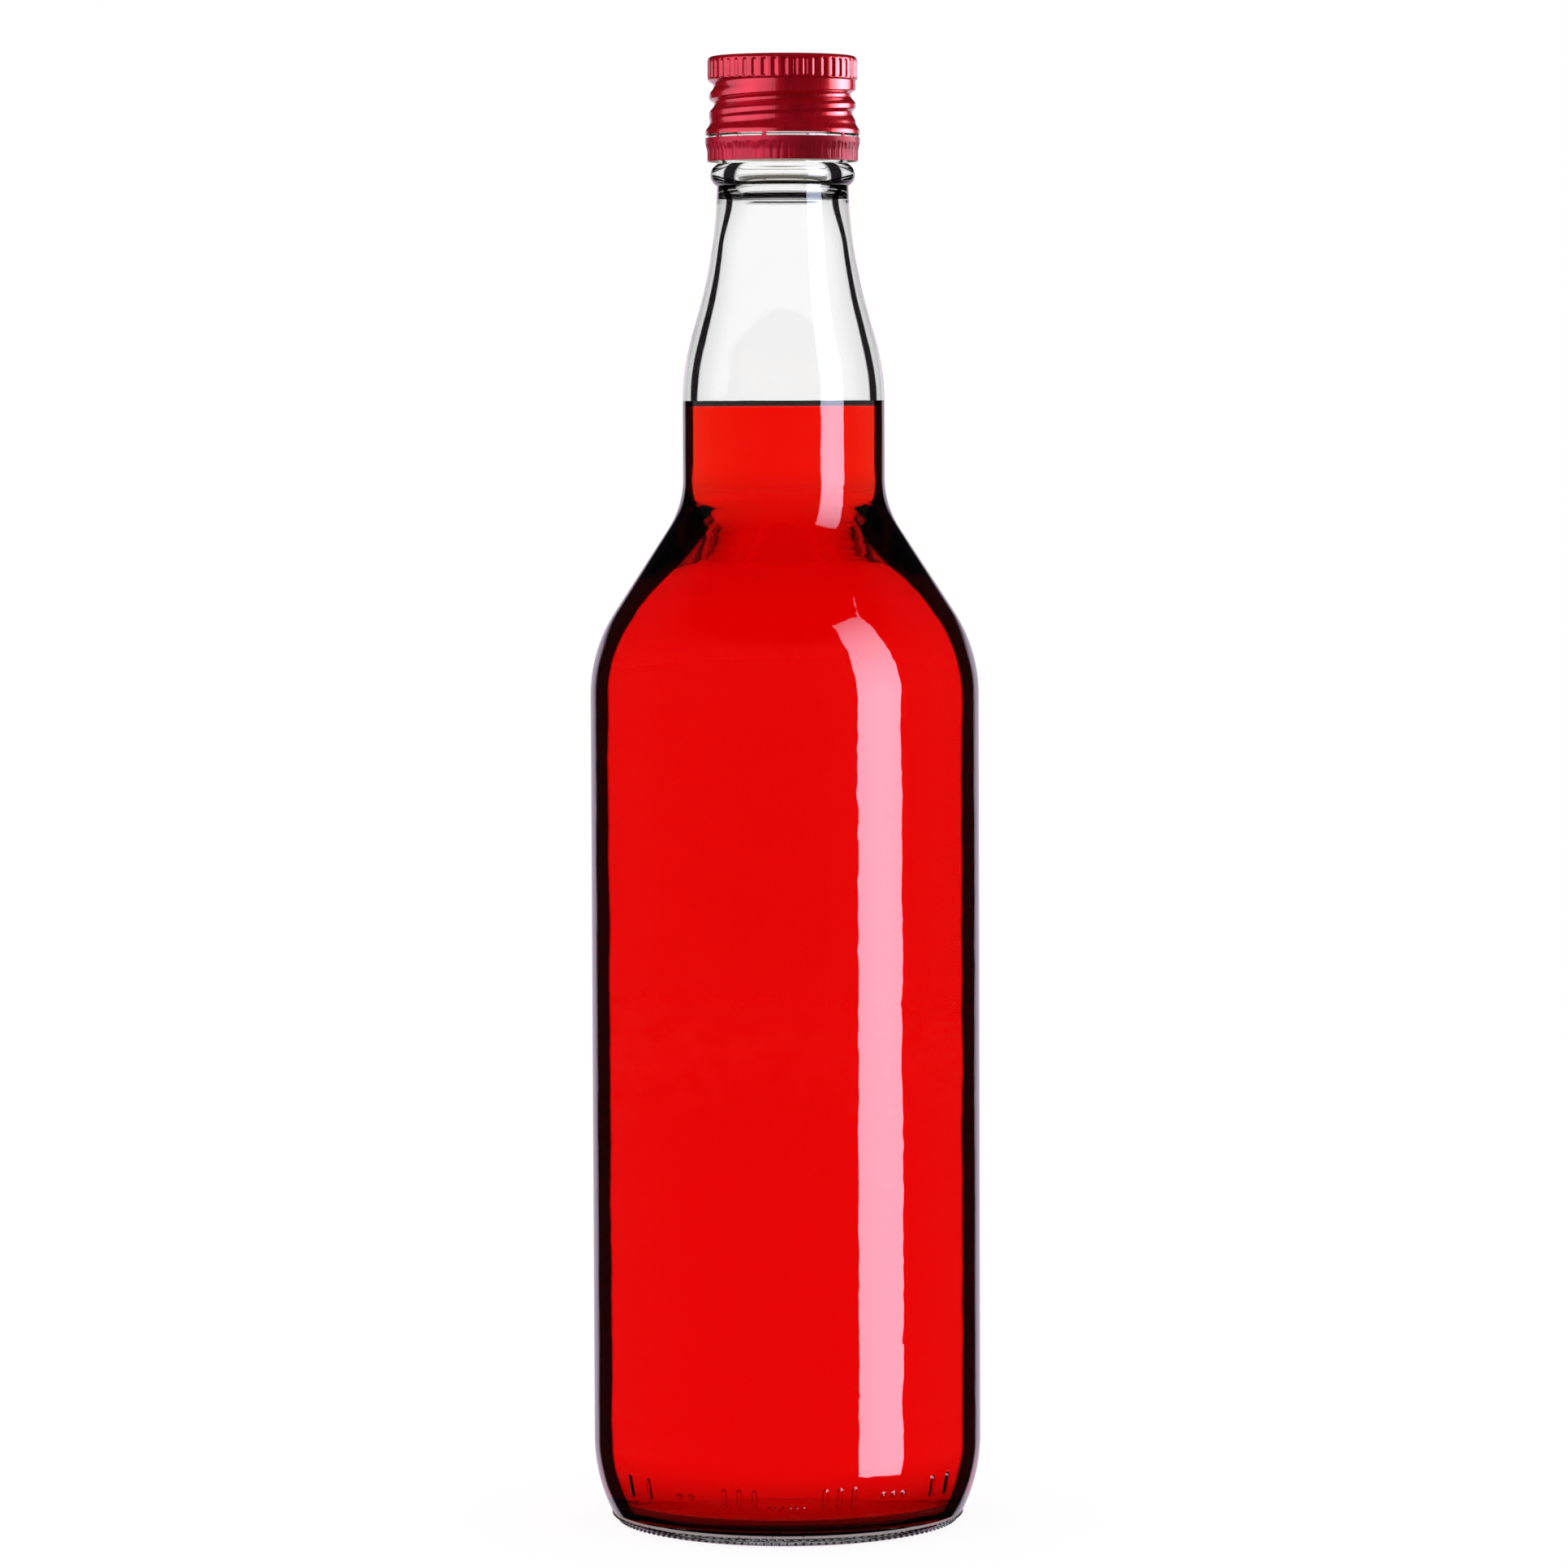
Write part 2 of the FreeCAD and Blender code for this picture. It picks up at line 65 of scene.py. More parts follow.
def join(tree: NodeTree, value: Any, slot: NodeSocket) -> None:
    """Link a term or a socket to an input, or set a plain value on it.

    Args:
        tree: the tree that holds both.
        value: a term, a socket or a plain value.
        slot: the input.
    """
    if isinstance(value, Term):
        value = value.socket
    if isinstance(value, NodeSocket):
        tree.links.new(value, slot)
    else:
        slot.default_value = value


def operation_of(kind: str, flipped: bool = False) -> Callable[..., "Term"]:
    """Make a method of a term that adds a Math node.

    Args:
        kind: the node's operation.
        flipped: whether the term comes after the other operand.

    Returns:
        The method, which takes the other operand if the operation has one.
    """
    def method(term: "Term", *others: Number) -> "Term":
        """Add the node and give its result."""
        return term.math(kind, *((*others, term) if flipped else (term, *others)))

    return method


class Term:
    """A number socket of a node tree that takes part in Python sums."""

    __add__ = __radd__ = operation_of("ADD")
    __sub__ = operation_of("SUBTRACT")
    __rsub__ = operation_of("SUBTRACT", flipped=True)
    __mul__ = __rmul__ = operation_of("MULTIPLY")
    __truediv__ = operation_of("DIVIDE")
    __gt__ = operation_of("GREATER_THAN")
    __lt__ = operation_of("LESS_THAN")
    at_least = operation_of("MAXIMUM")
    at_most = operation_of("MINIMUM")
    angle_from = operation_of("ARCTAN2")
    nearest = operation_of("ROUND")
    size = operation_of("ABSOLUTE")
    root = operation_of("SQRT")
    cosine = operation_of("COSINE")
    sine = operation_of("SINE")

    def __init__(self, tree: NodeTree, socket: NodeSocket) -> None:
        """Wrap a socket of a tree."""
        self.tree = tree
        self.socket = socket

    def __neg__(self) -> "Term":
        """Change the sign."""
        return self * -1.0

    def math(self, operation: str, *operands: Number) -> "Term":
        """Add a Math node.

        Args:
            operation: the node's operation.
            operands: numbers or terms, in the order of the node's inputs.

        Returns:
            The node's result.
        """
        node = self.tree.nodes.new("ShaderNodeMath")
        node.operation = operation
        for slot, operand in zip(node.inputs, operands):
            join(self.tree, operand, slot)
        return Term(self.tree, node.outputs[0])

    def ramp(self, low: Number, high: Number) -> "Term":
        """Ease from 0 to 1 between two values.

        Args:
            low: where the rise starts.
            high: where the rise ends.

        Returns:
            The eased value.
        """
        node = self.tree.nodes.new("ShaderNodeMapRange")
        node.interpolation_type = "SMOOTHSTEP"
        for slot, value in zip(node.inputs, (self, low, high, 0.0, 1.0)):
            join(self.tree, value, slot)
        return Term(self.tree, node.outputs[0])

    def window(self, low: float, high: float, soft: float) -> "Term":
        """Give 1 between two values and 0 outside them, with soft ends."""
        return self.ramp(low - soft, low + soft) * (1.0 - self.ramp(high - soft, high + soft))


def diagonal(first: Term, second: Term) -> Term:
    """Give the length of the diagonal over two sides."""
    return (first * first + second * second).root()


class Graph:
    """A node tree under construction."""

    def __init__(self, tree: NodeTree) -> None:
        """Take over a tree."""
        self.tree = tree

    def node(self, kind: str, settings: dict[str, Any] | None = None,
             inputs: dict[str | int, Any] | None = None) -> Node:
        """Add a node.

        Args:
            kind: the node's type.
            settings: its settings, which are made first.
            inputs: values or links of its inputs, by name or number.

        Returns:
            The node.
        """
        node = self.tree.nodes.new(kind)
        for name, value in (settings or {}).items():
            setattr(node, name, value)
        for name, value in (inputs or {}).items():
            join(self.tree, value, node.inputs[name])
        return node

    def term(self, kind: str, output: str | int, settings: dict[str, Any] | None = None,
             inputs: dict[str | int, Any] | None = None) -> Term:
        """Add a node and wrap one of its outputs.

        Args:
            kind: the node's type.
            output: the output's name or number.
            settings: the node's settings.
            inputs: values or links of its inputs.

        Returns:
            The output as a term.
        """
        return Term(self.tree, self.node(kind, settings, inputs).outputs[output])

    def axes(self, vector: NodeSocket) -> tuple[Term, Term, Term]:
        """Split a vector into its three numbers."""
        parts = self.node("ShaderNodeSeparateXYZ", inputs={0: vector})
        return tuple(Term(self.tree, output) for output in parts.outputs)

    def rays(self, *kinds: str) -> list[Term]:
        """Give 1 for rays of each kind, such as Camera, and 0 for other rays."""
        path = self.node("ShaderNodeLightPath")
        return [Term(self.tree, path.outputs[f"Is {kind} Ray"]) for kind in kinds]

    def blend(self, factor: Number, first: Any, second: Any) -> NodeSocket:
        """Mix two colours.

        Args:
            factor: the share of the second colour.
            first: a colour or a link.
            second: a colour or a link.

        Returns:
            The mixed colour.
        """
        node = self.node("ShaderNodeMix", {"data_type": "RGBA"}, {0: factor, 6: first, 7: second})
        return node.outputs[2]

    def mix(self, factor: Number, first: NodeSocket,
            second: NodeSocket) -> NodeSocket:
        """Mix two shaders by the share of the second."""
        return self.node("ShaderNodeMixShader", inputs={0: factor, 1: first, 2: second}).outputs[0]


class Shader(Graph):
    """The node tree of a new material."""

    def __init__(self, name: str) -> None:
        """Start an empty material."""
        self.material = bpy.data.materials.new(name)
        self.material.use_nodes = True
        super().__init__(self.material.node_tree)
        self.tree.nodes.clear()
        self.output = self.node("ShaderNodeOutputMaterial")

    def place(self) -> NodeSocket:
        """Give the object's own coordinates."""
        return self.node("ShaderNodeTexCoord").outputs["Object"]

    def height(self) -> Term:
        """Give the height above the standing plane."""
        return self.axes(self.place())[2]

    def facing(self) -> Term:
        """Give the slant at which a surface is seen: 0 is head-on and 1 edge-on."""
        return self.term("ShaderNodeLayerWeight", "Facing", inputs={"Blend": 0.5})

    def entered(self) -> Term:
        """Give 1 where a ray meets a face from outside, and 0 where it leaves through it."""
        return 1.0 - self.term("ShaderNodeNewGeometry", "Backfacing")

    def tilt(self) -> Term:
        """Give how far a surface looks up: 1 is straight up and -1 straight down."""
        return self.axes(self.node("ShaderNodeTexCoord").outputs["Normal"])[2]

    def noise(self, scale: float, detail: float = 2.0, stretch: tuple = (1.0, 1.0, 1.0)) -> Term:
        """Add noise over the object's own coordinates.

        Args:
            scale: noise cells per metre.
            detail: octaves.
            stretch: scale along each axis.

        Returns:
            The noise, about 0.5.
        """
        mapped = self.node("ShaderNodeMapping", inputs={"Vector": self.place(), "Scale": stretch})
        inputs = {"Vector": mapped.outputs[0], "Scale": scale, "Detail": detail}
        return self.term("ShaderNodeTexNoise", 0, inputs=inputs)

    def bump(self, height: Term, distance: float) -> NodeSocket:
        """Turn a height into a normal."""
        inputs = {"Strength": 1.0, "Distance": distance, "Height": height}
        return self.node("ShaderNodeBump", inputs=inputs).outputs[0]

    def principled(self, inputs: dict[str, Any]) -> Node:
        """Add the main surface shader."""
        return self.node("ShaderNodeBsdfPrincipled", inputs=inputs)

    def finish(self, surface: NodeSocket,
               volume: NodeSocket | None = None) -> Material:
        """Connect the material's output.

        Args:
            surface: the surface shader.
            volume: the volume shader, if the piece has one.

        Returns:
            The finished material.
        """
        join(self.tree, surface, self.output.inputs["Surface"])
        if volume is not None:
            join(self.tree, volume, self.output.inputs["Volume"])
        return self.material


@dataclass(frozen=True)
class EdgeShade:
    """The slants between which a glass face is painted dark: a painted shade in its colour, standing in for
    the dark edges that refraction gives before a bright field.
    """

    start: float
    end: float = 2.0
    soft: float = 0.016
    rest: float = 0.0
    # halo is a painted soft shade just inside the dark edge, and least a painted shade all over faces met
    # from outside
    halo: float = 0.0
    least: float = 0.0
    above: float = -1.0
    fade: float = 0.01 * MM
    halo_width: float = 0.3

    def of(self, slant: Term, entered: Term) -> Term:
        """Give the painted shade for a slant.

        Args:
            slant: the slant at which the face is seen.
            entered: 1 where the face is met from outside, which is where the least painted shade holds.

        Returns:
            The painted shade, which rises through a painted soft halo and falls back to a rest beyond the
            last slant.
        """
        rise = slant.ramp(self.start - self.soft, self.start + self.soft)
        beyond = slant.ramp(self.end - self.soft, self.end + self.soft)
        edge = rise * (1.0 - (1.0 - self.rest) * beyond)
        if self.halo:
            glow = slant.ramp(self.start - self.halo_width, self.start)
            edge = edge + self.halo * glow * (1.0 - rise)
        return edge.at_least(entered * self.least)

    def share(self, height: Term) -> Term:
        """Give how far this shade holds at a height."""
        return height.ramp(self.above - self.fade, self.above + self.fade)


@dataclass(frozen=True)
class EdgeLift:
    """A stretch of height where the painted dark edge is wider, by an amount that is added to the slant."""

    amount: float
    low: float
    full: float
    top: float

    def of(self, height: Term) -> Term:
        """Give what is added to the slant at a height."""
        return self.amount * height.ramp(self.low, self.full) * (1.0 - height.ramp(self.full, self.top))


@dataclass(frozen=True)
class RingShade:
    """The painted shade of a moulded ring of thick glass: upright dark bars and a dark underside, painted
    into its colour in place of what refraction shows there.
    """

    bars: EdgeShade
    low: float
    top: float
    under: float
    under_soft: float = 0.08
    end_soft: float = 0.05 * MM

    def over(self, dark: Term, shader: Shader) -> Term:
        """Lay the ring's painted shade over the painted shade of the wall.

        Args:
            dark: the wall's painted shade.
            shader: the material that it belongs to.

        Returns:
            The painted shade with the ring's over it.
        """
        tilt = shader.tilt()
        upright = (1.0 - tilt * tilt).at_least(0.01).root()
        bars = self.bars.of(1.0 - (1.0 - shader.facing()) / upright, shader.entered())
        below = (-tilt).ramp(self.under - self.under_soft, self.under + self.under_soft)
        within = shader.height().window(self.low, self.top, self.end_soft)
        return dark + (bars.at_least(below) - dark) * within


@dataclass(frozen=True)
class MarkRow:
    """A row of like raised marks on the heel: how many, where from, how far apart, and their size."""

    count: int
    first: float
    step: float
    height: float
    wide: float
    tall: float
    radius: float = 36.8 * MM
    crown: float = 0.12

    def relief(self, across: Term, along: Term, height: Term) -> Term:
        """Give 1 on top of the marks and 0 on the glass round them.

        Args:
            across: a point's first coordinate.
            along: its second coordinate.
            height: its third coordinate.

        Returns:
            How far the point is raised.
        """
        angle = along.angle_from(across) * (180.0 / math.pi)
        place = (angle + 360.0 * (angle < 0.0) - self.first) / self.step
        nearest = place.nearest().at_least(0.0).at_most(self.count - 1.0)
        aside = (place - nearest) * (math.radians(self.step) * self.radius)
        over = (height - self.height).size() - max(self.tall - self.wide, 0.0) / 2
        flank = diagonal(aside, over.at_least(0.0))
        return 1.0 - flank.ramp(self.crown * self.wide, 0.5 * self.wide)


@dataclass(frozen=True)
class GlassFinish:
    """Clear flint glass, with painted shade in its colour at the slants and heights where a bright field
    would leave it dark, and which lets lamps through.
    """

    name: str
    ior: float
    edges: tuple[EdgeShade, ...]
    lifts: tuple[EdgeLift, ...] = ()
    ring: RingShade | None = None
    clear: tuple = (0.988, 0.99, 0.988, 1.0)
    painted_shade_colour: tuple = (0.0003, 0.0002, 0.0003, 1.0)
    lamp_tint: tuple = (0.95, 0.96, 0.95, 1.0)
    ripple: float = 0.0
    marks: tuple[MarkRow, ...] = ()
    # a frosted scuff band, partly real wear and partly a painted highlight: its pale pinkish colour stands
    # in for a thin bright line
    scuff_and_highlight: tuple[float, float] | None = None
    frost_and_highlight_colour: tuple = (0.8, 0.74, 0.75, 1.0)
    wander: float = 0.06
    painted_rim_strength: float = 4.0

    def material(self) -> Material:
        """Make the material."""
        shader = Shader(self.name)
        height = shader.height()
        entered = shader.entered()
        # painted shade: the glass's colour goes dark by the slant at which it is seen, with a little noise,
        # and by height, in place of refraction's dark edges
        slant = shader.facing() + self.wander * (shader.noise(120.0, 3.0, (1.0, 1.0, 0.6)) - 0.5)
        for lift in self.lifts:
            slant = slant + lift.of(height)
        dark = self.edges[0].of(slant, entered)
        for edge in self.edges[1:]:
            dark = dark + (edge.of(slant, entered) - dark) * edge.share(height)
        if self.ring is not None:
            dark = self.ring.over(dark, shader)
        # painted shade: dark outlines round the raised marks, standing in for the dark edges that refraction
        # gives them
        if self.marks:
            raised = sum(row.relief(*shader.axes(shader.place())) for row in self.marks)
            rim = raised * (1.0 - raised) * entered
            dark = dark.at_least(self.painted_rim_strength * rim)
        inputs = {
            "Base Color": shader.blend(dark, self.clear, self.painted_shade_colour),
            "Roughness": 0.0,
            "IOR": self.ior,
            "Transmission Weight": 1.0,
        }
        if self.ripple:
            inputs["Normal"] = shader.bump(shader.noise(150.0, 3.0, (1.0, 1.0, 0.5)), self.ripple)
        surface = shader.principled(inputs).outputs[0]
        # frosted scuff band above the stipple, partly real wear and partly a painted highlight line
        if self.scuff_and_highlight is not None:
            worn_and_highlight = height.window(*self.scuff_and_highlight, 0.05 * MM) * shader.noise(900.0).ramp(0.2, 0.4)
            frost_and_highlight = shader.principled({"Base Color": self.frost_and_highlight_colour, "Roughness": 0.8})
            surface = shader.mix(worn_and_highlight * entered, surface, frost_and_highlight.outputs[0])
        lamp, = shader.rays("Shadow")
        open_way = shader.node("ShaderNodeBsdfTransparent", inputs={"Color": self.lamp_tint})
        return shader.finish(shader.mix(lamp, surface, open_way.outputs[0]))


@dataclass(frozen=True)
class LiquidFinish:
    """Clear red liquid: a free surface on top, painted dark at grazing slants and along its meniscus in
    place of what refraction shows there, and sides that lie on the glass and bend no light.
    """

    name: str
    ior: float
    level: float
    colour: tuple = (0.9905, 0.30, 0.04, 1.0)
    density: float = 250.0
    edge: EdgeShade = EdgeShade(0.90)
    painted_shade_colour: tuple = (0.0005, 0.0, 0.0, 1.0)
    meniscus_low: float = 0.03 * MM
    meniscus_top: float = 0.25 * MM

    def material(self) -> Material:
        """Make the material."""
        shader = Shader(self.name)
        # painted shade: the free surface is painted dark at grazing slants and along the meniscus, in place
        # of the dark line that refraction gives there
        slanted = self.edge.of(shader.facing(), shader.entered())
        meniscus = shader.height().ramp(self.level + self.meniscus_low, self.level + self.meniscus_top)
        free = shader.principled({
            "Base Color": shader.blend(slanted.at_least(meniscus), CLEAR, self.painted_shade_colour),
            "Roughness": 0.0,
            "IOR": self.ior,
            "Transmission Weight": 1.0,
        })
        side = shader.node("ShaderNodeBsdfTransparent", inputs={"Color": CLEAR})
        lamp, = shader.rays("Shadow")
        on_top = (shader.height() > self.level - 0.01 * MM) * (1.0 - lamp)
        volume = shader.node("ShaderNodeVolumeAbsorption", inputs={
            "Color": self.colour, "Density": self.density})
        return shader.finish(shader.mix(on_top, side.outputs[0], free.outputs[0]), volume.outputs[0])


@dataclass(frozen=True)
class Grain:
    """Noise in a finish: cells per metre, octaves, and the scale along each axis."""

    scale: float
    detail: float = 3.0
    stretch: tuple = (1.0, 1.0, 1.0)

    def of(self, shader: Shader) -> Term:
        """Give the noise in a material."""
        return shader.noise(self.scale, self.detail, self.stretch)


@dataclass(frozen=True)
class GrainedFinish:
    """A finish of two close colours in patches, with a grain that changes its gloss and its relief."""

    name: str
    colour: tuple
    shade: tuple
    roughness: float
    patches: Grain
    patch_ends: tuple[float, float]
    grain: Grain
    gloss_change: float
    relief: float
    metallic: float = 0.0
    specular: float = 0.5
    coat: float = 0.0

    def material(self) -> Material:
        """Make the material."""
        shader = Shader(self.name)
        patches, grain = self.patches.of(shader), self.grain.of(shader)
        surface = shader.principled({
            "Base Color": shader.blend(patches.ramp(*self.patch_ends), self.colour, self.shade),
            "Metallic": self.metallic,
            "Specular IOR Level": self.specular,
            "Roughness": self.roughness + self.gloss_change * grain,
            "Coat Weight": self.coat,
            "Coat Roughness": 0.08,
            "Coat IOR": 1.5,
            "Normal": shader.bump(grain, self.relief),
        })
        return shader.finish(surface.outputs[0])


@dataclass(frozen=True)
class LacquerFinish(GrainedFinish):
    """Red stoving lacquer on rolled aluminium: a tinted metal under a clear coat, with a fine grain."""

    colour: tuple = (0.62, 0.002, 0.014, 1.0)
    shade: tuple = (0.46, 0.001, 0.009, 1.0)
    roughness: float = 0.2
    patches: Grain = Grain(260.0)
    patch_ends: tuple[float, float] = (0.35, 0.75)
    grain: Grain = Grain(2600.0, 2.0, (1.0, 1.0, 0.08))
    gloss_change: float = 0.12
    relief: float = 0.012 * MM
    metallic: float = 0.55
    coat: float = 0.8


@dataclass(frozen=True)
class MetalFinish(GrainedFinish):
    """Aluminium sheet, bare on the cut edges and clear-coated inside."""

    colour: tuple = (0.72, 0.71, 0.68, 1.0)
    shade: tuple = (0.56, 0.55, 0.52, 1.0)
    roughness: float = 0.28
    patches: Grain = Grain(1500.0, 3.0, (1.0, 1.0, 0.1))
    patch_ends: tuple[float, float] = (0.3, 0.7)
    grain: Grain = Grain(1500.0, 3.0, (1.0, 1.0, 0.1))
    gloss_change: float = 0.15
    relief: float = 0.006 * MM
    metallic: float = 1.0


@dataclass(frozen=True)
class FoamFinish(GrainedFinish):
    """White expanded liner foam with a smooth skin and a few small cells."""

    colour: tuple = (0.82, 0.81, 0.77, 1.0)
    shade: tuple = (0.68, 0.67, 0.62, 1.0)
    roughness: float = 0.4
    patches: Grain = Grain(2200.0)
    patch_ends: tuple[float, float] = (0.45, 0.8)
    grain: Grain = Grain(2200.0)
    gloss_change: float = 0.25
    relief: float = 0.02 * MM


@dataclass
class Stretch:
    """A straight stretch of an outline: its end, its surface, its rows and the rounding of its end."""

    radius: float
    height: float
    surface: Surface
    rows: int = 1
    rounding: float = 0.0


class Outline:
    """A turned piece's outline, in radius and height, with a surface for each stretch."""

    ROUND_ROWS = 4
    SAME_SPOT = 1e-7
    ON_AXIS = 1e-9

    def __init__(self, radius: float, height: float) -> None:
        """Start at a point."""
        self.stretches = [Stretch(radius, height, Surface.OUTSIDE)]

    def line(self, radius: float, height: float, surface: Surface, rows: int = 1,
             rounding: float = 0.0) -> "Outline":
        """Draw a straight stretch.

        Args:
            radius: where it ends.
            height: where it ends.
            surface: the finish that it takes.
            rows: how many rows of faces it has.
            rounding: how far before its end the outline starts to turn into the next stretch.

        Returns:
            The outline itself.
        """
        self.stretches.append(Stretch(radius, height, surface, rows, rounding))
        return self

    def arc(self, middle: tuple[float, float], radius: float, first: float, last: float,
            surface: Surface, rows: int) -> "Outline":
        """Draw a round stretch about a middle, joined straight to the point before it.

        Args:
            middle: radius and height of the arc's middle.
            radius: the arc's radius.
            first: angle of its start in degrees, 0 outwards and 90 upwards.
            last: angle of its end.
            surface: the finish that it takes.
            rows: how many rows of faces it has.

        Returns:
            The outline itself.
        """
        for row in range(rows + 1):
            angle = math.radians(first + (last - first) * row / rows)
            spot = Vector((middle[0] + radius * math.cos(angle), middle[1] + radius * math.sin(angle)))
            before = self.stretches[-1]
            if (spot - Vector((before.radius, before.height))).length > self.SAME_SPOT:
                self.line(spot.x, spot.y, surface)
        return self

    def points(self) -> list[tuple[Vector, Surface]]:
        """Give the outline's points with rows and roundings, each with the surface that leads to it."""
        corners = [Vector((stretch.radius, stretch.height)) for stretch in self.stretches]
        result = [(corners[0], self.stretches[0].surface)]
        for index, stretch in enumerate(self.stretches[1:], start=1):
            start, corner = result[-1][0], corners[index]
            turn: list[Vector] = []
            if stretch.rounding:
                after = corners[(index + 1) % len(corners)]
                entry = corner + (corners[index - 1] - corner).normalized() * stretch.rounding
                leave = corner + (after - corner).normalized() * stretch.rounding
                for row in range(1, self.ROUND_ROWS + 1):
                    share = row / self.ROUND_ROWS
                    turn.append(entry.lerp(corner, share).lerp(corner.lerp(leave, share), share))
                corner = entry
            result += [(start.lerp(corner, row / stretch.rows), stretch.surface)
                       for row in range(1, stretch.rows + 1)]
            result += [(spot, stretch.surface) for spot in turn]
        return result

    def spin(self, name: str, columns: int) -> Object:
        """Turn the outline about the upright axis into a closed mesh.

        Args:
            name: the piece's name.
            columns: how many columns of faces go round.

        Returns:
            The new object, with each face's surface and each point's share of outside as attributes.
        """
        points = self.points()
        hoop = points[0][0].x > self.ON_AXIS
        vertices: list[tuple[float, float, float]] = []
        outer: list[float] = []
        rings: list[list[int]] = []
        for spot, surface in points:
            count = columns if spot.x > self.ON_AXIS else 1
            rings.append(list(range(len(vertices), len(vertices) + count)))
            for column in range(count):
                angle = math.tau * column / columns
                vertices.append((spot.x * math.cos(angle), spot.x * math.sin(angle), spot.y))
                outer.append(float(surface == Surface.OUTSIDE))
        bands = [(rings[row], rings[row + 1], points[row + 1][1]) for row in range(len(rings) - 1)]
        if hoop:
            bands.append((rings[-1], rings[0], points[0][1]))
        faces: list[tuple[int, ...]] = []
        surfaces: list[int] = []
        for lower, upper, surface in bands:
            for column in range(columns):
                turn = (column + 1) % columns
                corners = (lower[column % len(lower)], lower[turn % len(lower)],
                           upper[turn % len(upper)], upper[column % len(upper)])
                faces.append(tuple(dict.fromkeys(corners)))
                surfaces.append(int(surface))
        mesh = bpy.data.meshes.new(name)
        mesh.from_pydata(vertices, [], faces)
        mesh.attributes.new("surface", "INT", "FACE").data.foreach_set("value", surfaces)
        mesh.attributes.new("outer", "FLOAT", "POINT").data.foreach_set("value", outer)
        point_outwards(mesh)
        return add_object(name, mesh)


@contextmanager
def reshaped(mesh: Mesh) -> Iterator[bmesh.types.BMesh]:
    """Open a mesh for changes and write them back at the end.

    Args:
        mesh: the mesh.

    Yields:
        What can be changed.
    """
    shape = bmesh.new()
    shape.from_mesh(mesh)
    yield shape
    shape.to_mesh(mesh)
    shape.free()


def point_outwards(mesh: Mesh) -> None:
    """Turn a closed mesh's faces outwards."""
    with reshaped(mesh) as shape:
        bmesh.ops.recalc_face_normals(shape, faces=shape.faces)


def add_object(name: str, mesh: Mesh) -> Object:
    """Put a mesh into the scene under a name."""
    piece = bpy.data.objects.new(name, mesh)
    bpy.context.scene.collection.objects.link(piece)
    return piece


def shade(piece: Object, sharp_angle: float = 40.0) -> None:
    """Shade a piece smooth, apart from edges sharper than an angle in degrees."""
    piece.data.shade_smooth()
    piece.data.set_sharp_from_angle(angle=math.radians(sharp_angle))


